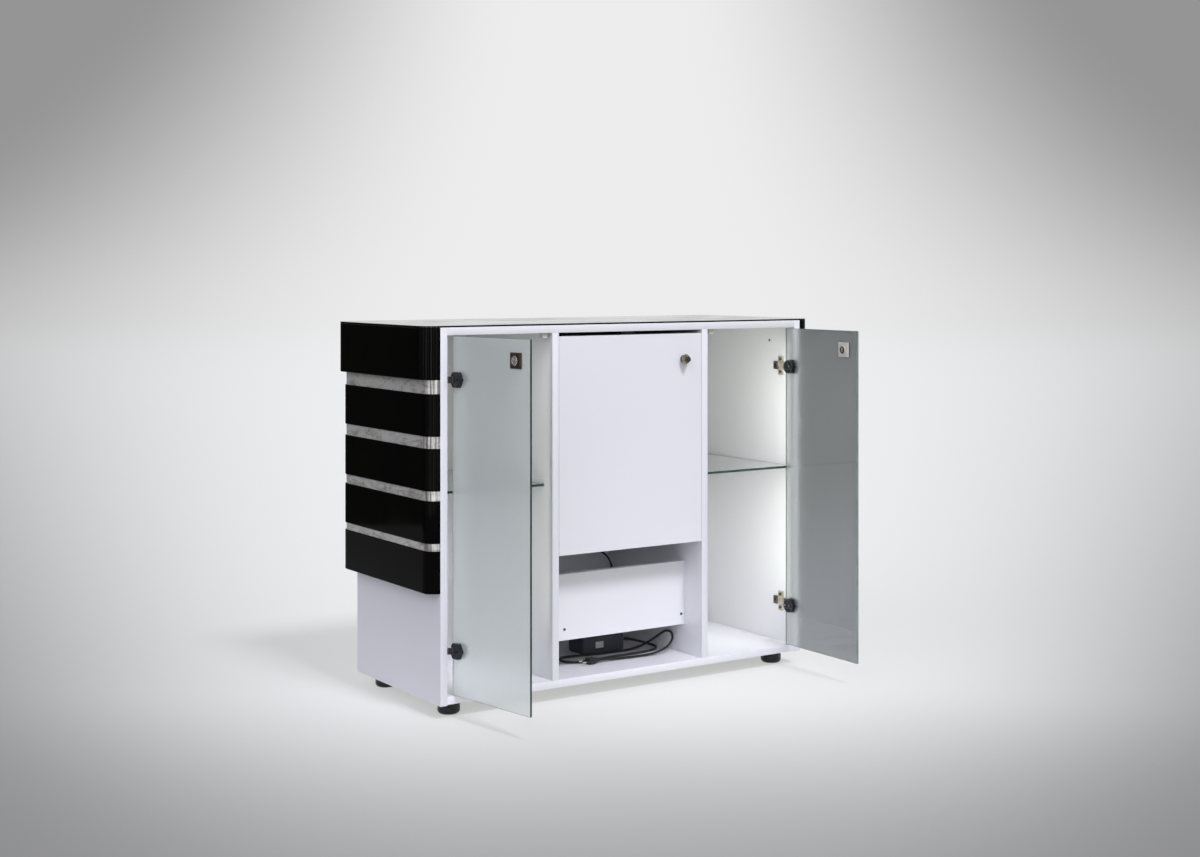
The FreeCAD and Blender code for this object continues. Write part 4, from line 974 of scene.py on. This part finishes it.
class CABINET_OT_shelves(Operator):
    """Make the clear glass shelves with their ground edges and finish their pins"""
    bl_idname = "cabinet.shelves"
    bl_label = "Glass shelves"

    def execute(self, context):
        for side in SIDES:
            faces = ("clear glass", "clear glass", "glass edge")
            cut_glass(f"{side}_glass_shelf", UP, faces, f"{side}_shelf", CARCASS, "clear_glass")
        dress("nickel", "shelf_pins")
        return {"FINISHED"}


def hinge_tails(bm):
    """A block, a pad and a fixing screw at the rear of each cross plate, each with its own finish."""
    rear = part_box("hinge_mount_plates")[1].y + sizes().tail_depth * 0.3
    rise = sizes().tail_rise
    deep = sizes().tail_depth / 2
    half = sizes().tail_height / 2
    pad = half * 0.86
    head = half * 0.42
    top = rise + TAIL_SCREW_TOP
    for side, inward in INWARD.items():
        for level in HINGE_LEVELS:
            place = along(Vector((inner_face(side), rear, level)), inward)
            slab(bm, (-half, -deep, 0.0), (half, deep, rise), place, TAIL_EASE)
            slab(bm, (-pad, -pad, rise - PAD_SINK), (pad, pad, rise + PAD_RISE), place, FINE_EASE, finish=1)
            profile = ((head, rise), (head, rise + TAIL_SCREW_RIM), (head * 0.8, top), (0, top))
            turn(bm, profile, place, finish=2)


def ring_ribs_painted_highlight(bm, side):
    """A lip, a hub and three ribs moulded on the face of each inner ring."""
    place = door_place(side)
    low, high = own_box(f"{side}_hinge_rings", place)
    reach = (high.x - low.x) / 2
    lift = sizes().ring_lip
    lip = ((reach, -lift), (reach, lift * 0.4), (reach * 0.97, lift), (reach * 0.9, lift),
           (reach * 0.86, -lift))
    hub = ((reach * 0.5, -lift), (reach * 0.48, lift), (reach * 0.38, lift), (reach * 0.34, -lift))
    rib = reach * 0.11
    for level in HINGE_LEVELS:
        face = along(place @ Vector(((low.x + high.x) / 2, high.y, level)), door_inner(place))
        turn(bm, lip, face)
        turn(bm, hub, face)
        for third in range(3):
            spoke = face @ Matrix.Rotation(math.radians(90 + 120 * third), 4, "Z")
            slab(bm, (reach * 0.46, -rib, -lift), (reach * 0.9, rib, lift * 0.8), spoke, FINE_EASE)


class CABINET_OT_hinges(Operator):
    """Finish the door hinges and the stop blocks, and add ribs and tails to the hinges"""
    bl_idname = "cabinet.hinges"
    bl_label = "Hinges"

    def execute(self, context):
        for side in SIDES:
            dress("moulded black", f"{side}_hinge_caps", f"{side}_hinge_rings")
            bm = bmesh.new()
            ring_ribs_painted_highlight(bm, side)
            # The lip and ribs take the paler blue grey finish: a grey-black plastic, and a painted highlight
            # on the black ring's rim and ribs.
            add_piece(f"{side}_ring_ribs", bm, f"{side}_door", "black_plastic", "housing")
        bm = bmesh.new()
        hinge_tails(bm)
        add_piece("hinge_tails", bm, CARCASS, "nickel_steel", "bronze", "nickel", "moulded black")
        dress("nickel", "hinge_mount_plates")
        dress("screw steel", "hinge_arms")
        dress("polished nickel", "hinge_pins")
        dress("ivory", "door_stops")
        dress("moulded black", "flap_stop")
        return {"FINISHED"}


# Fold out shelf

KNOB_ROUNDS = 14
KNOB_CUT = 0.86


def knob_profile(wide, body, ball_end):
    """A foot and a neck under a ball whose poles are cut off."""
    ball_foot = body * 0.2
    middle = (ball_foot + ball_end) / 2
    half = (ball_end - ball_foot) / 2
    foot = wide * 0.8
    profile = [(0, 0), (foot, 0), (foot, body * 0.05), (wide * 0.66, body * 0.1), (wide * 0.5, body * 0.14)]
    for number in range(KNOB_ROUNDS + 1):
        share = KNOB_CUT * (2 * number / KNOB_ROUNDS - 1)
        profile.append((wide * math.sqrt(1 - share * share), middle + share * half))
    return [*profile, (0, ball_end)]


class CABINET_OT_fold_shelf(Operator):
    """Turn the knob of the fold out shelf and finish its pivots and stays"""
    bl_idname = "cabinet.fold_shelf"
    bl_label = "Fold out shelf"

    def execute(self, context):
        low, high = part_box("knob")
        end_low, end_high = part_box("knob_end")
        base = (low + high) / 2
        base.y = high.y
        place = along(base, FRONTWARD)
        body = high.y - low.y
        ball_end = body * 0.86
        bm = bmesh.new()
        turn(bm, knob_profile((high.x - low.x) / 2, body, ball_end), place, finish=0)
        tip = (end_high.x - end_low.x) / 2
        tip_end = ball_end + (high.y - end_low.y - ball_end) * 0.62
        # The end takes the dark finish: a painted reflection of a dim room in its polished face.
        dark = ((tip * 0.78, ball_end * 0.92), (tip * 0.9, ball_end * 1.02), (tip * 0.9, tip_end * 0.94),
                (tip * 0.8, tip_end * 0.985), (tip * 0.62, tip_end), (0, tip_end))
        turn(bm, dark, place, finish=1)
        knob = add_piece("turned_knob", bm, FLAP, "old_brass", "old brass", "dark end")
        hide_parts("knob", "knob_end")
        dress("nickel", "flap_pins", "flap_stays")
        dress("ivory", "flap_bushes", "stay_guides")
        return {"FINISHED"}


# Screws, whose rise and slot are shares of a head's radius

SCREW_RISE = 0.45
SCREW_SLOT_WIDTH = 0.26
SCREW_SLOT_LENGTH = 1.3
SCREW_SIDES = 20
COVER_SCREW_RADIUS = 0.0032
RING_SCREW_RADIUS = 0.0046


def screw_tree():
    """Cross-head screws on the points it is given, facing along each point's own direction."""
    inputs = [("Points", "Geometry"), ("Rise", "Float"), ("Slot Width", "Float"), ("Finish", "Material")]
    tree, given, made = new_group("Cross-head screws", inputs, [("Geometry", "Geometry")], "GeometryNodeTree")

    def shift_up(mesh, height):
        offset = node(tree, "ShaderNodeCombineXYZ", {"Z": height}).outputs[0]
        moved = node(tree, "GeometryNodeTransform", {"Geometry": mesh, "Translation": offset})
        return moved.outputs["Geometry"]

    def named(attribute, kind):
        found = node(tree, "GeometryNodeInputNamedAttribute", {"Name": attribute}, data_type=kind)
        return found.outputs["Attribute"]

    rise = given["Rise"]
    head = node(tree, "GeometryNodeMeshCylinder", {"Vertices": SCREW_SIDES, "Radius": 1.0, "Depth": rise})
    lifted = shift_up(head.outputs["Mesh"], math_node(tree, "MULTIPLY", rise, 0.5))
    recess = node(tree, "GeometryNodeMeshBoolean", {"Mesh 1": lifted}, operation="DIFFERENCE")
    for first, second in (("X", "Y"), ("Y", "X")):
        extent = {first: SCREW_SLOT_LENGTH, second: given["Slot Width"], "Z": rise}
        size = node(tree, "ShaderNodeCombineXYZ", extent).outputs[0]
        bar = node(tree, "GeometryNodeMeshCube", {"Size": size})
        feed(tree, recess, {"Mesh 2": shift_up(bar.outputs["Mesh"], rise)})
    facing = named("facing", "FLOAT_VECTOR")
    aim = node(tree, "FunctionNodeAlignRotationToVector", {"Vector": facing}, axis="Z")
    scatter = node(tree, "GeometryNodeInstanceOnPoints", {
        "Points": given["Points"],
        "Instance": recess.outputs["Mesh"],
        "Rotation": aim.outputs["Rotation"],
        "Scale": named("head_radius", "FLOAT"),
    })
    real = node(tree, "GeometryNodeRealizeInstances", {"Geometry": scatter.outputs["Instances"]})
    painted = {"Geometry": real.outputs["Geometry"], "Material": given["Finish"]}
    feed(tree, made, {"Geometry": node(tree, "GeometryNodeSetMaterial", painted).outputs["Geometry"]})
    return tree


def bake_tree(piece, tree, **values):
    """Run a geometry tree on a piece and keep its result as a plain mesh."""
    modifier = piece.modifiers.new("Tree", "NODES")
    modifier.node_group = tree
    for item in tree.interface.items_tree:
        if item.in_out == "INPUT" and item.name.replace(" ", "_") in values:
            modifier[item.identifier] = values[item.name.replace(" ", "_")]
    mesh = plain_mesh(piece)
    piece.modifiers.remove(modifier)
    piece.data = mesh


def screws(name, body, tree, heads, finish):
    """heads holds the foot, direction and radius of each screw."""
    points = bpy.data.meshes.new(name)
    points.from_pydata([foot for foot, _, _ in heads], [], [])
    points.attributes.new("facing", "FLOAT_VECTOR", "POINT")
    points.attributes.new("head_radius", "FLOAT", "POINT")
    for number, (_, direction, radius) in enumerate(heads):
        points.attributes["facing"].data[number].vector = direction
        points.attributes["head_radius"].data[number].value = radius
    piece = put(name, points)
    bake_tree(piece, tree, Rise=SCREW_RISE, Slot_Width=SCREW_SLOT_WIDTH, Finish=finish_of(finish))
    return belong(piece, body)


def carcass_heads():
    """Screws in the cover panel and in the hinge plates."""
    heads = []
    low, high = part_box("cover_screws")
    inset = (high.z - low.z) / 2
    for x in (low.x + inset, high.x - inset):
        foot = Vector((x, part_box("niche_cover_panel")[0].y, (low.z + high.z) / 2))
        heads.append((foot, FRONTWARD, COVER_SCREW_RADIUS))
    low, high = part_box("hinge_screws")
    for side, inward in INWARD.items():
        plate_x = inner_face(side) + inward.x * HINGE_PLATE_RISE
        for level in HINGE_LEVELS:
            for spread in (-HINGE_SCREW_SPREAD, HINGE_SCREW_SPREAD):
                foot = Vector((plate_x, (low.y + high.y) / 2, level + spread))
                heads.append((foot, inward, HINGE_SCREW_RADIUS))
    return heads


def ring_heads(side):
    """Screws in the wells of a door's hinge rings."""
    place = door_place(side)
    low, high = own_box(f"{side}_hinge_rings", place)
    middle = (low + high) / 2
    feet = [place @ Vector((middle.x, middle.y, level)) for level in HINGE_LEVELS]
    return [(foot, door_inner(place), RING_SCREW_RADIUS) for foot in feet]


class CABINET_OT_screws(Operator):
    """Put cross-head screws in the cover panel, hinge plates, hinge rings and flap"""
    bl_idname = "cabinet.screws"
    bl_label = "Screws"

    def execute(self, context):
        tree = screw_tree()
        carcass = screws("carcass_screws", CARCASS, tree, carcass_heads(), "screw steel")
        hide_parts("cover_screws", "hinge_screws")
        low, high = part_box("knob_screw")
        foot = (low + high) / 2
        foot.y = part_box("flap_panel")[1].y
        flap = screws("flap_screw", FLAP, tree, [(foot, BACKWARD, (high.x - low.x) / 2)], "screw steel")
        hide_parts("knob_screw")
        for side in SIDES:
            screws(f"{side}_ring_screws", f"{side}_door", tree, ring_heads(side), "polished nickel")
        dress("screw steel", "foot_screws")
        return {"FINISHED"}


class CABINET_OT_feet(Operator):
    """Finish the four round feet"""
    bl_idname = "cabinet.feet"
    bl_label = "Feet"

    def execute(self, context):
        dress("moulded black", "feet")
        return {"FINISHED"}


PATCH_PLACE = 0.3
PATCH_RISE = 0.0003
PATCH_EASE = 0.0002


class CABINET_OT_supply(Operator):
    """Finish the power supply with its blank patch, and the lamp"""
    bl_idname = "cabinet.supply"
    bl_label = "Power supply and lamp"

    def execute(self, context):
        dress("housing", "power_supply")
        dress("opal", "compartment_lamp")
        low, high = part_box("power_supply")
        left = low.x + (high.x - low.x) * PATCH_PLACE
        right = left + sizes().patch_width
        middle = (low.z + high.z) / 2
        half = sizes().patch_height / 2
        bm = bmesh.new()
        slab(bm, (left, low.y - PATCH_RISE, middle - half), (right, low.y + PATCH_RISE, middle + half),
             chamfer=PATCH_EASE)
        add_piece("blank_patch", bm, CARCASS, "ivory_plastic", "patch")
        return {"FINISHED"}


# Backdrop and floor

# How the backdrop narrows with height, and degrees beside the middle where it dims and where it ends
BACKDROP_NARROWING = 5.8
BACKDROP_LEAST_LIFT = -0.03
BACKDROP_EASE = 0.05
BACKDROP_DIMS = (4, 28)
BACKDROP_ENDS = (40, 75)
# How the floor dims towards the camera and to either side, in metres from the middle
FLOOR_NEAR_SLOPE = -0.99
FLOOR_NEAR_START = -0.08
FLOOR_NEAR_POWER = 1.61
FLOOR_WIDTH_SLOPE = 0.425
FLOOR_WIDTH = 1.373
FLOOR_LEAST_WIDTH = 0.6
FLOOR_SIDE_POWER = 3.35
FLOOR_FAR = (6.0, 32.0)
FLOOR_REACH = 200.0
FLOOR_DROP = 0.0005
# Where the brighter part of the even light comes from, and how it blends into the rest
AMBIENT_SIDE = (0.45, -0.8, 0.4)
AMBIENT_BLEND = (-0.9, 0.9)


def lit_by_view(tree):
    """1 for what the camera sees directly, in a mirror or through glass, and 0 after a matt surface."""
    path = tree.nodes.new("ShaderNodeLightPath").outputs
    seen = math_node(tree, "MAXIMUM", path["Is Camera Ray"], path["Is Glossy Ray"])
    seen = math_node(tree, "MAXIMUM", seen, path["Is Transmission Ray"])
    return math_node(tree, "MULTIPLY", seen, math_node(tree, "LESS_THAN", path["Diffuse Depth"], 0.5))


def view_axes():
    """Level directions across and along the photograph's heading."""
    heading = stage_looks().heading
    return (math.cos(heading), -math.sin(heading), 0), (math.sin(heading), math.cos(heading), 0)


@cache
def backdrop_group():
    """Tone of the backdrop in each direction, brightest in the middle."""
    looks = stage_looks()
    group, given, made = new_group("Backdrop tone", [("Direction", "Vector")], [("Colour", "Color")])
    across, ahead = view_axes()
    direction = given["Direction"]
    sideways = turned_dot(group, direction, across)
    aside = math_node(group, "ARCTAN2", sideways, turned_dot(group, direction, ahead))
    upward = turned_dot(group, direction, UP)
    lift = math_node(group, "SMOOTH_MAX", upward, BACKDROP_LEAST_LIFT, BACKDROP_EASE)
    narrowing = math_node(group, "MULTIPLY_ADD", lift, BACKDROP_NARROWING, 1.0)
    reach = math_node(group, "MULTIPLY", math_node(group, "ABSOLUTE", aside), narrowing)
    dim = map_range(group, reach, 0.0, 1.0, *map(math.radians, BACKDROP_DIMS))
    shade = mix_colour(group, dim, looks.backdrop, looks.backdrop_rim)
    around = map_range(group, reach, 0.0, 1.0, *map(math.radians, BACKDROP_ENDS))
    feed(group, made, {"Colour": mix_colour(group, around, shade, looks.backdrop_side)})
    return group


def backdrop_tone(tree, direction):
    made = node(tree, "ShaderNodeGroup", {"Direction": direction}, node_tree=backdrop_group())
    return made.outputs["Colour"]


def mix_shaders(tree, share, first, second, end):
    """Blend two shaders into the output node named end."""
    mixed = node(tree, "ShaderNodeMixShader", {"Fac": share, 1: first, 2: second})
    feed(tree, tree.nodes[end], {"Surface": mixed.outputs["Shader"]})


def floor_shade(tree, place):
    """Brightest round the cabinet, dimmer towards the camera and to either side."""
    across, ahead = view_axes()
    deep = turned_dot(tree, place, ahead)
    near = math_node(tree, "MULTIPLY_ADD", deep, FLOOR_NEAR_SLOPE, FLOOR_NEAR_START)
    near = math_node(tree, "POWER", math_node(tree, "MAXIMUM", near, 0.0), FLOOR_NEAR_POWER)
    wide = math_node(tree, "MULTIPLY_ADD", deep, FLOOR_WIDTH_SLOPE, FLOOR_WIDTH)
    wide = math_node(tree, "MAXIMUM", wide, FLOOR_LEAST_WIDTH)
    aside = math_node(tree, "ABSOLUTE", turned_dot(tree, place, across))
    beside = math_node(tree, "POWER", math_node(tree, "DIVIDE", aside, wide), FLOOR_SIDE_POWER)
    fall = math_node(tree, "MULTIPLY", math_node(tree, "ADD", near, beside), -1.0)
    return mix_colour(tree, math_node(tree, "EXPONENT", fall), stage_looks().floor_rim, stage_looks().floor)


def floor_material():
    """A pale matt floor that takes the shadow and runs into the backdrop far away."""
    looks = stage_looks()
    finish = Finish("Pale floor", looks.floor, Roughness=0.9, Specular_IOR_Level=0.0)
    tree = finish.tree
    place = finish.vector
    shade = floor_shade(tree, place)
    view = lit_by_view(tree)
    thrown = scaled(tree, shade, looks.floor_bounce)
    finish.set(Base_Color=mix_colour(tree, view, thrown, scaled(tree, shade, looks.floor_lit)))
    finish.set(Emission_Color=shade, Emission_Strength=math_node(tree, "MULTIPLY", view, looks.floor_glow))
    far = map_range(tree, vector_node(tree, "LENGTH", place)["Value"], 0.0, 1.0, *FLOOR_FAR)
    sight = vector_node(tree, "SUBTRACT", place, looks.eye)["Vector"]
    tone = backdrop_tone(tree, vector_node(tree, "NORMALIZE", sight)["Vector"])
    horizon = node(tree, "ShaderNodeEmission", {"Color": tone}).outputs["Emission"]
    share = math_node(tree, "MULTIPLY", far, view)
    mix_shaders(tree, share, finish.shader.outputs["BSDF"], horizon, "Material Output")
    return finish.material


def backdrop_world():
    """The backdrop where it is seen, and an even light elsewhere."""
    looks = stage_looks()
    world = bpy.data.worlds.new("Backdrop")
    world.use_nodes = True
    tree = world.node_tree
    direction = tree.nodes.new("ShaderNodeTexCoord").outputs["Generated"]
    front = map_range(tree, turned_dot(tree, direction, AMBIENT_SIDE), 0.0, 1.0, *AMBIENT_BLEND)
    lamp = node(tree, "ShaderNodeBackground", {
        "Strength": map_range(tree, front, looks.ambient_back, looks.ambient),
        "Color": mix_colour(tree, front, looks.ambient_back_tint, looks.ambient_tint),
    })
    shown = tree.nodes["Background"]
    feed(tree, shown, {"Color": backdrop_tone(tree, direction)})
    even = lamp.outputs["Background"]
    mix_shaders(tree, lit_by_view(tree), even, shown.outputs["Background"], "World Output")
    return world


# Lamps and cards

# Degrees from the front towards the left, above level and across, then the settings with strength and tint
SUNS = {
    "Key light": (60, 29, 56, "key_strength", "key_tint"),
    "Fill light": (-24, 16, 70, "fill_strength", "fill_tint"),
    "Top light": (-2, 53, 12, "top_strength", "key_tint"),
    "Rear light": (180, 20, 30, "rear_strength", "key_tint"),
}
SUN_DISTANCE = 5
BAY_LAMP_FOOT = 0.14
BAY_LAMP_DEPTH = 0.007
BAY_LAMP_WIDTH = 0.94
CARD_STEPS = 24
CARD_DISTANCE = 3.2
DIM_CARD_CENTRE = (0.62, -0.25)
DIM_CARD_RADIUS = 0.95
DIM_CARD_SWEEP = (-80, 88)
DIM_CARD_LEVELS = (0.002, 1.6)
DIM_CARD_FADE = 0.36
FLAG_SWEEP = (98, 160)
FLAG_LEVELS = (0.02, 0.9)
# Direction and half width of each bright strip in degrees
STRIP_CARDS = ((188, 0.5), (203, 1.2), (214, 0.5), (231, 1.8), (246, 0.6), (262, 1.0))
STRIP_LEVELS = (0.1, 0.88)


def soft_sun(name, turned, height, spread, strength, tint):
    """A broad even light; turned is from the front towards the left, height above level, both in degrees."""
    data = bpy.data.lights.new(name, "SUN")
    data.energy = strength
    data.angle = math.radians(spread)
    data.color = tint
    lamp = put(name, data)
    lamp.visible_glossy = False
    around = math.radians(turned)
    above = math.radians(height)
    level = math.cos(above)
    source = Vector((-math.sin(around) * level, -math.cos(around) * level, math.sin(above)))
    lamp.rotation_euler = source.to_track_quat("Z", "Y").to_euler()
    lamp.location = source * SUN_DISTANCE


def bay_lamp(side, power):
    """A soft light just behind a shut door's pane, for the light that a bay's white walls throw about."""
    looks = stage_looks()
    front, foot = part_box(f"{side}_side_panel")[0].yz
    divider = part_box(f"{side}_divider")
    ends = (inner_face(side), divider[0].x if side == "left" else divider[1].x)
    data = bpy.data.lights.new(f"{side}_bay_light", "AREA")
    data.shape = "RECTANGLE"
    data.size = (max(ends) - min(ends)) * BAY_LAMP_WIDTH
    data.size_y = looks.bay_lamp_height
    data.energy = power
    data.color = looks.bay_tint
    lamp = put(f"{side}_bay_light", data)
    middle = foot + BAY_LAMP_FOOT + looks.bay_lamp_height / 2
    lamp.location = (sum(ends) / 2, front + BAY_LAMP_DEPTH, middle)
    lamp.rotation_euler = (math.pi / 2, 0, 0)
    lamp.visible_camera = False
    lamp.visible_glossy = False
    lamp.visible_transmission = False


def curved_card(name, centre, radius, sweep, levels, floored=False):
    """An upright card bent round a centre through a sweep of degrees, closed below where floored."""
    first, last = map(math.radians, sweep)
    verts = []
    for step in range(CARD_STEPS + 1):
        angle = first + (last - first) * step / CARD_STEPS
        spot = (centre[0] + radius * math.cos(angle), centre[1] + radius * math.sin(angle))
        verts += [(*spot, level) for level in levels]
    faces = [(2 * step, 2 * step + 1, 2 * step + 3, 2 * step + 2) for step in range(CARD_STEPS)]
    if floored:
        verts.append((*centre, levels[0]))
        faces += [(2 * step, 2 * step + 2, len(verts) - 1) for step in range(CARD_STEPS)]
    mesh = bpy.data.meshes.new(name)
    mesh.from_pydata(verts, [], faces)
    return mesh


def hang_card(mesh, shade, rays):
    """A studio card that shows only to one kind of rays; shade gives its glow's inputs from its tree."""
    material = bpy.data.materials.new(mesh.name)
    material.use_nodes = True
    tree = material.node_tree
    glow = node(tree, "ShaderNodeEmission", shade(tree))
    feed(tree, tree.nodes["Material Output"], {"Surface": glow.outputs["Emission"]})
    mesh.materials.append(material)
    card = put(mesh.name, mesh)
    card.visible_camera = False
    card.visible_diffuse = False
    card.visible_shadow = False
    card.visible_glossy = rays == "glossy"
    card.visible_transmission = rays == "transmission"


def dim_shade(tree):
    """Darker with height, as a dim room over a lit floor."""
    place = tree.nodes.new("ShaderNodeTexCoord").outputs["Object"]
    height = map_range(tree, turned_dot(tree, place, UP), 0.0, 1.0, 0.0, DIM_CARD_FADE)
    return {"Color": mix_colour(tree, height, stage_looks().card_low, stage_looks().card)}


def strip_shade(tree):
    return {"Strength": stage_looks().strip_glow}


def flag_shade(tree):
    return {"Color": stage_looks().flag}


def lay_floor():
    corners = [(-FLOOR_REACH, -FLOOR_REACH), (FLOOR_REACH, -FLOOR_REACH), (FLOOR_REACH, FLOOR_REACH),
               (-FLOOR_REACH, FLOOR_REACH)]
    mesh = bpy.data.meshes.new("floor")
    mesh.from_pydata([(x, y, -FLOOR_DROP) for x, y in corners], [], [(0, 1, 2, 3)])
    mesh.materials.append(floor_material())
    put("floor", mesh)


class CABINET_OT_stage(Operator):
    """Lay the pale floor, set the backdrop and hang the lamps"""
    bl_idname = "cabinet.stage"
    bl_label = "Stage"

    def execute(self, context):
        looks = stage_looks()
        lay_floor()
        context.scene.world = backdrop_world()
        for name, (turned, height, spread, strength, tint) in SUNS.items():
            soft_sun(name, turned, height, spread, getattr(looks, strength), getattr(looks, tint))
        bay_lamp("left", looks.left_bay_lamp)
        bay_lamp("right", looks.right_bay_lamp)
        # A card seen only through glass: painted shade of a dim room behind the right door.
        dim = curved_card("dim_card", DIM_CARD_CENTRE, DIM_CARD_RADIUS, DIM_CARD_SWEEP, DIM_CARD_LEVELS, True)
        hang_card(dim, dim_shade, "transmission")
        flag = curved_card("dark_flag", (0, 0), CARD_DISTANCE, FLAG_SWEEP, FLAG_LEVELS)
        hang_card(flag, flag_shade, "glossy")
        for number, (direction, half) in enumerate(STRIP_CARDS):
            sweep = (direction - half, direction + half)
            strip = curved_card(f"strip_card_{number}", (0, 0), CARD_DISTANCE, sweep, STRIP_LEVELS)
            hang_card(strip, strip_shade, "glossy")
        context.scene.view_settings.view_transform = "Standard"
        return {"FINISHED"}


# Sidebar

OPERATORS = (CABINET_OT_camera, CABINET_OT_leads, CABINET_OT_boards, CABINET_OT_bands, CABINET_OT_doors,
             CABINET_OT_shelves, CABINET_OT_hinges, CABINET_OT_fold_shelf, CABINET_OT_screws, CABINET_OT_feet,
             CABINET_OT_supply, CABINET_OT_stage)
SETTINGS = {"cabinet_colours": CabinetColours, "cabinet_sizes": CabinetSizes, "cabinet_stage": StageLooks}


class CABINET_PT_sidebar(Panel):
    """The cabinet's colours, sizes and pieces"""
    bl_idname = "CABINET_PT_sidebar"
    bl_label = "Bar cabinet"
    bl_space_type = "VIEW_3D"
    bl_region_type = "UI"
    bl_category = "Cabinet"

    def draw(self, context):
        for group, made in SETTINGS.items():
            box = self.layout.box()
            for name in made.__annotations__:
                box.prop(getattr(context.scene, group), name)
        for operator in OPERATORS:
            self.layout.operator(operator.bl_idname)


CLASSES = (*SETTINGS.values(), *OPERATORS, CABINET_PT_sidebar)


def register():
    for made in CLASSES:
        bpy.utils.register_class(made)
    for name, made in SETTINGS.items():
        setattr(bpy.types.Scene, name, PointerProperty(type=made))


def unregister():
    for name in SETTINGS:
        delattr(bpy.types.Scene, name)
    for made in reversed(CLASSES):
        bpy.utils.unregister_class(made)


def main():
    register()
    for operator in OPERATORS:
        area, name = operator.bl_idname.split(".")
        getattr(getattr(bpy.ops, area), name)()


if __name__ == "__main__":
    main()
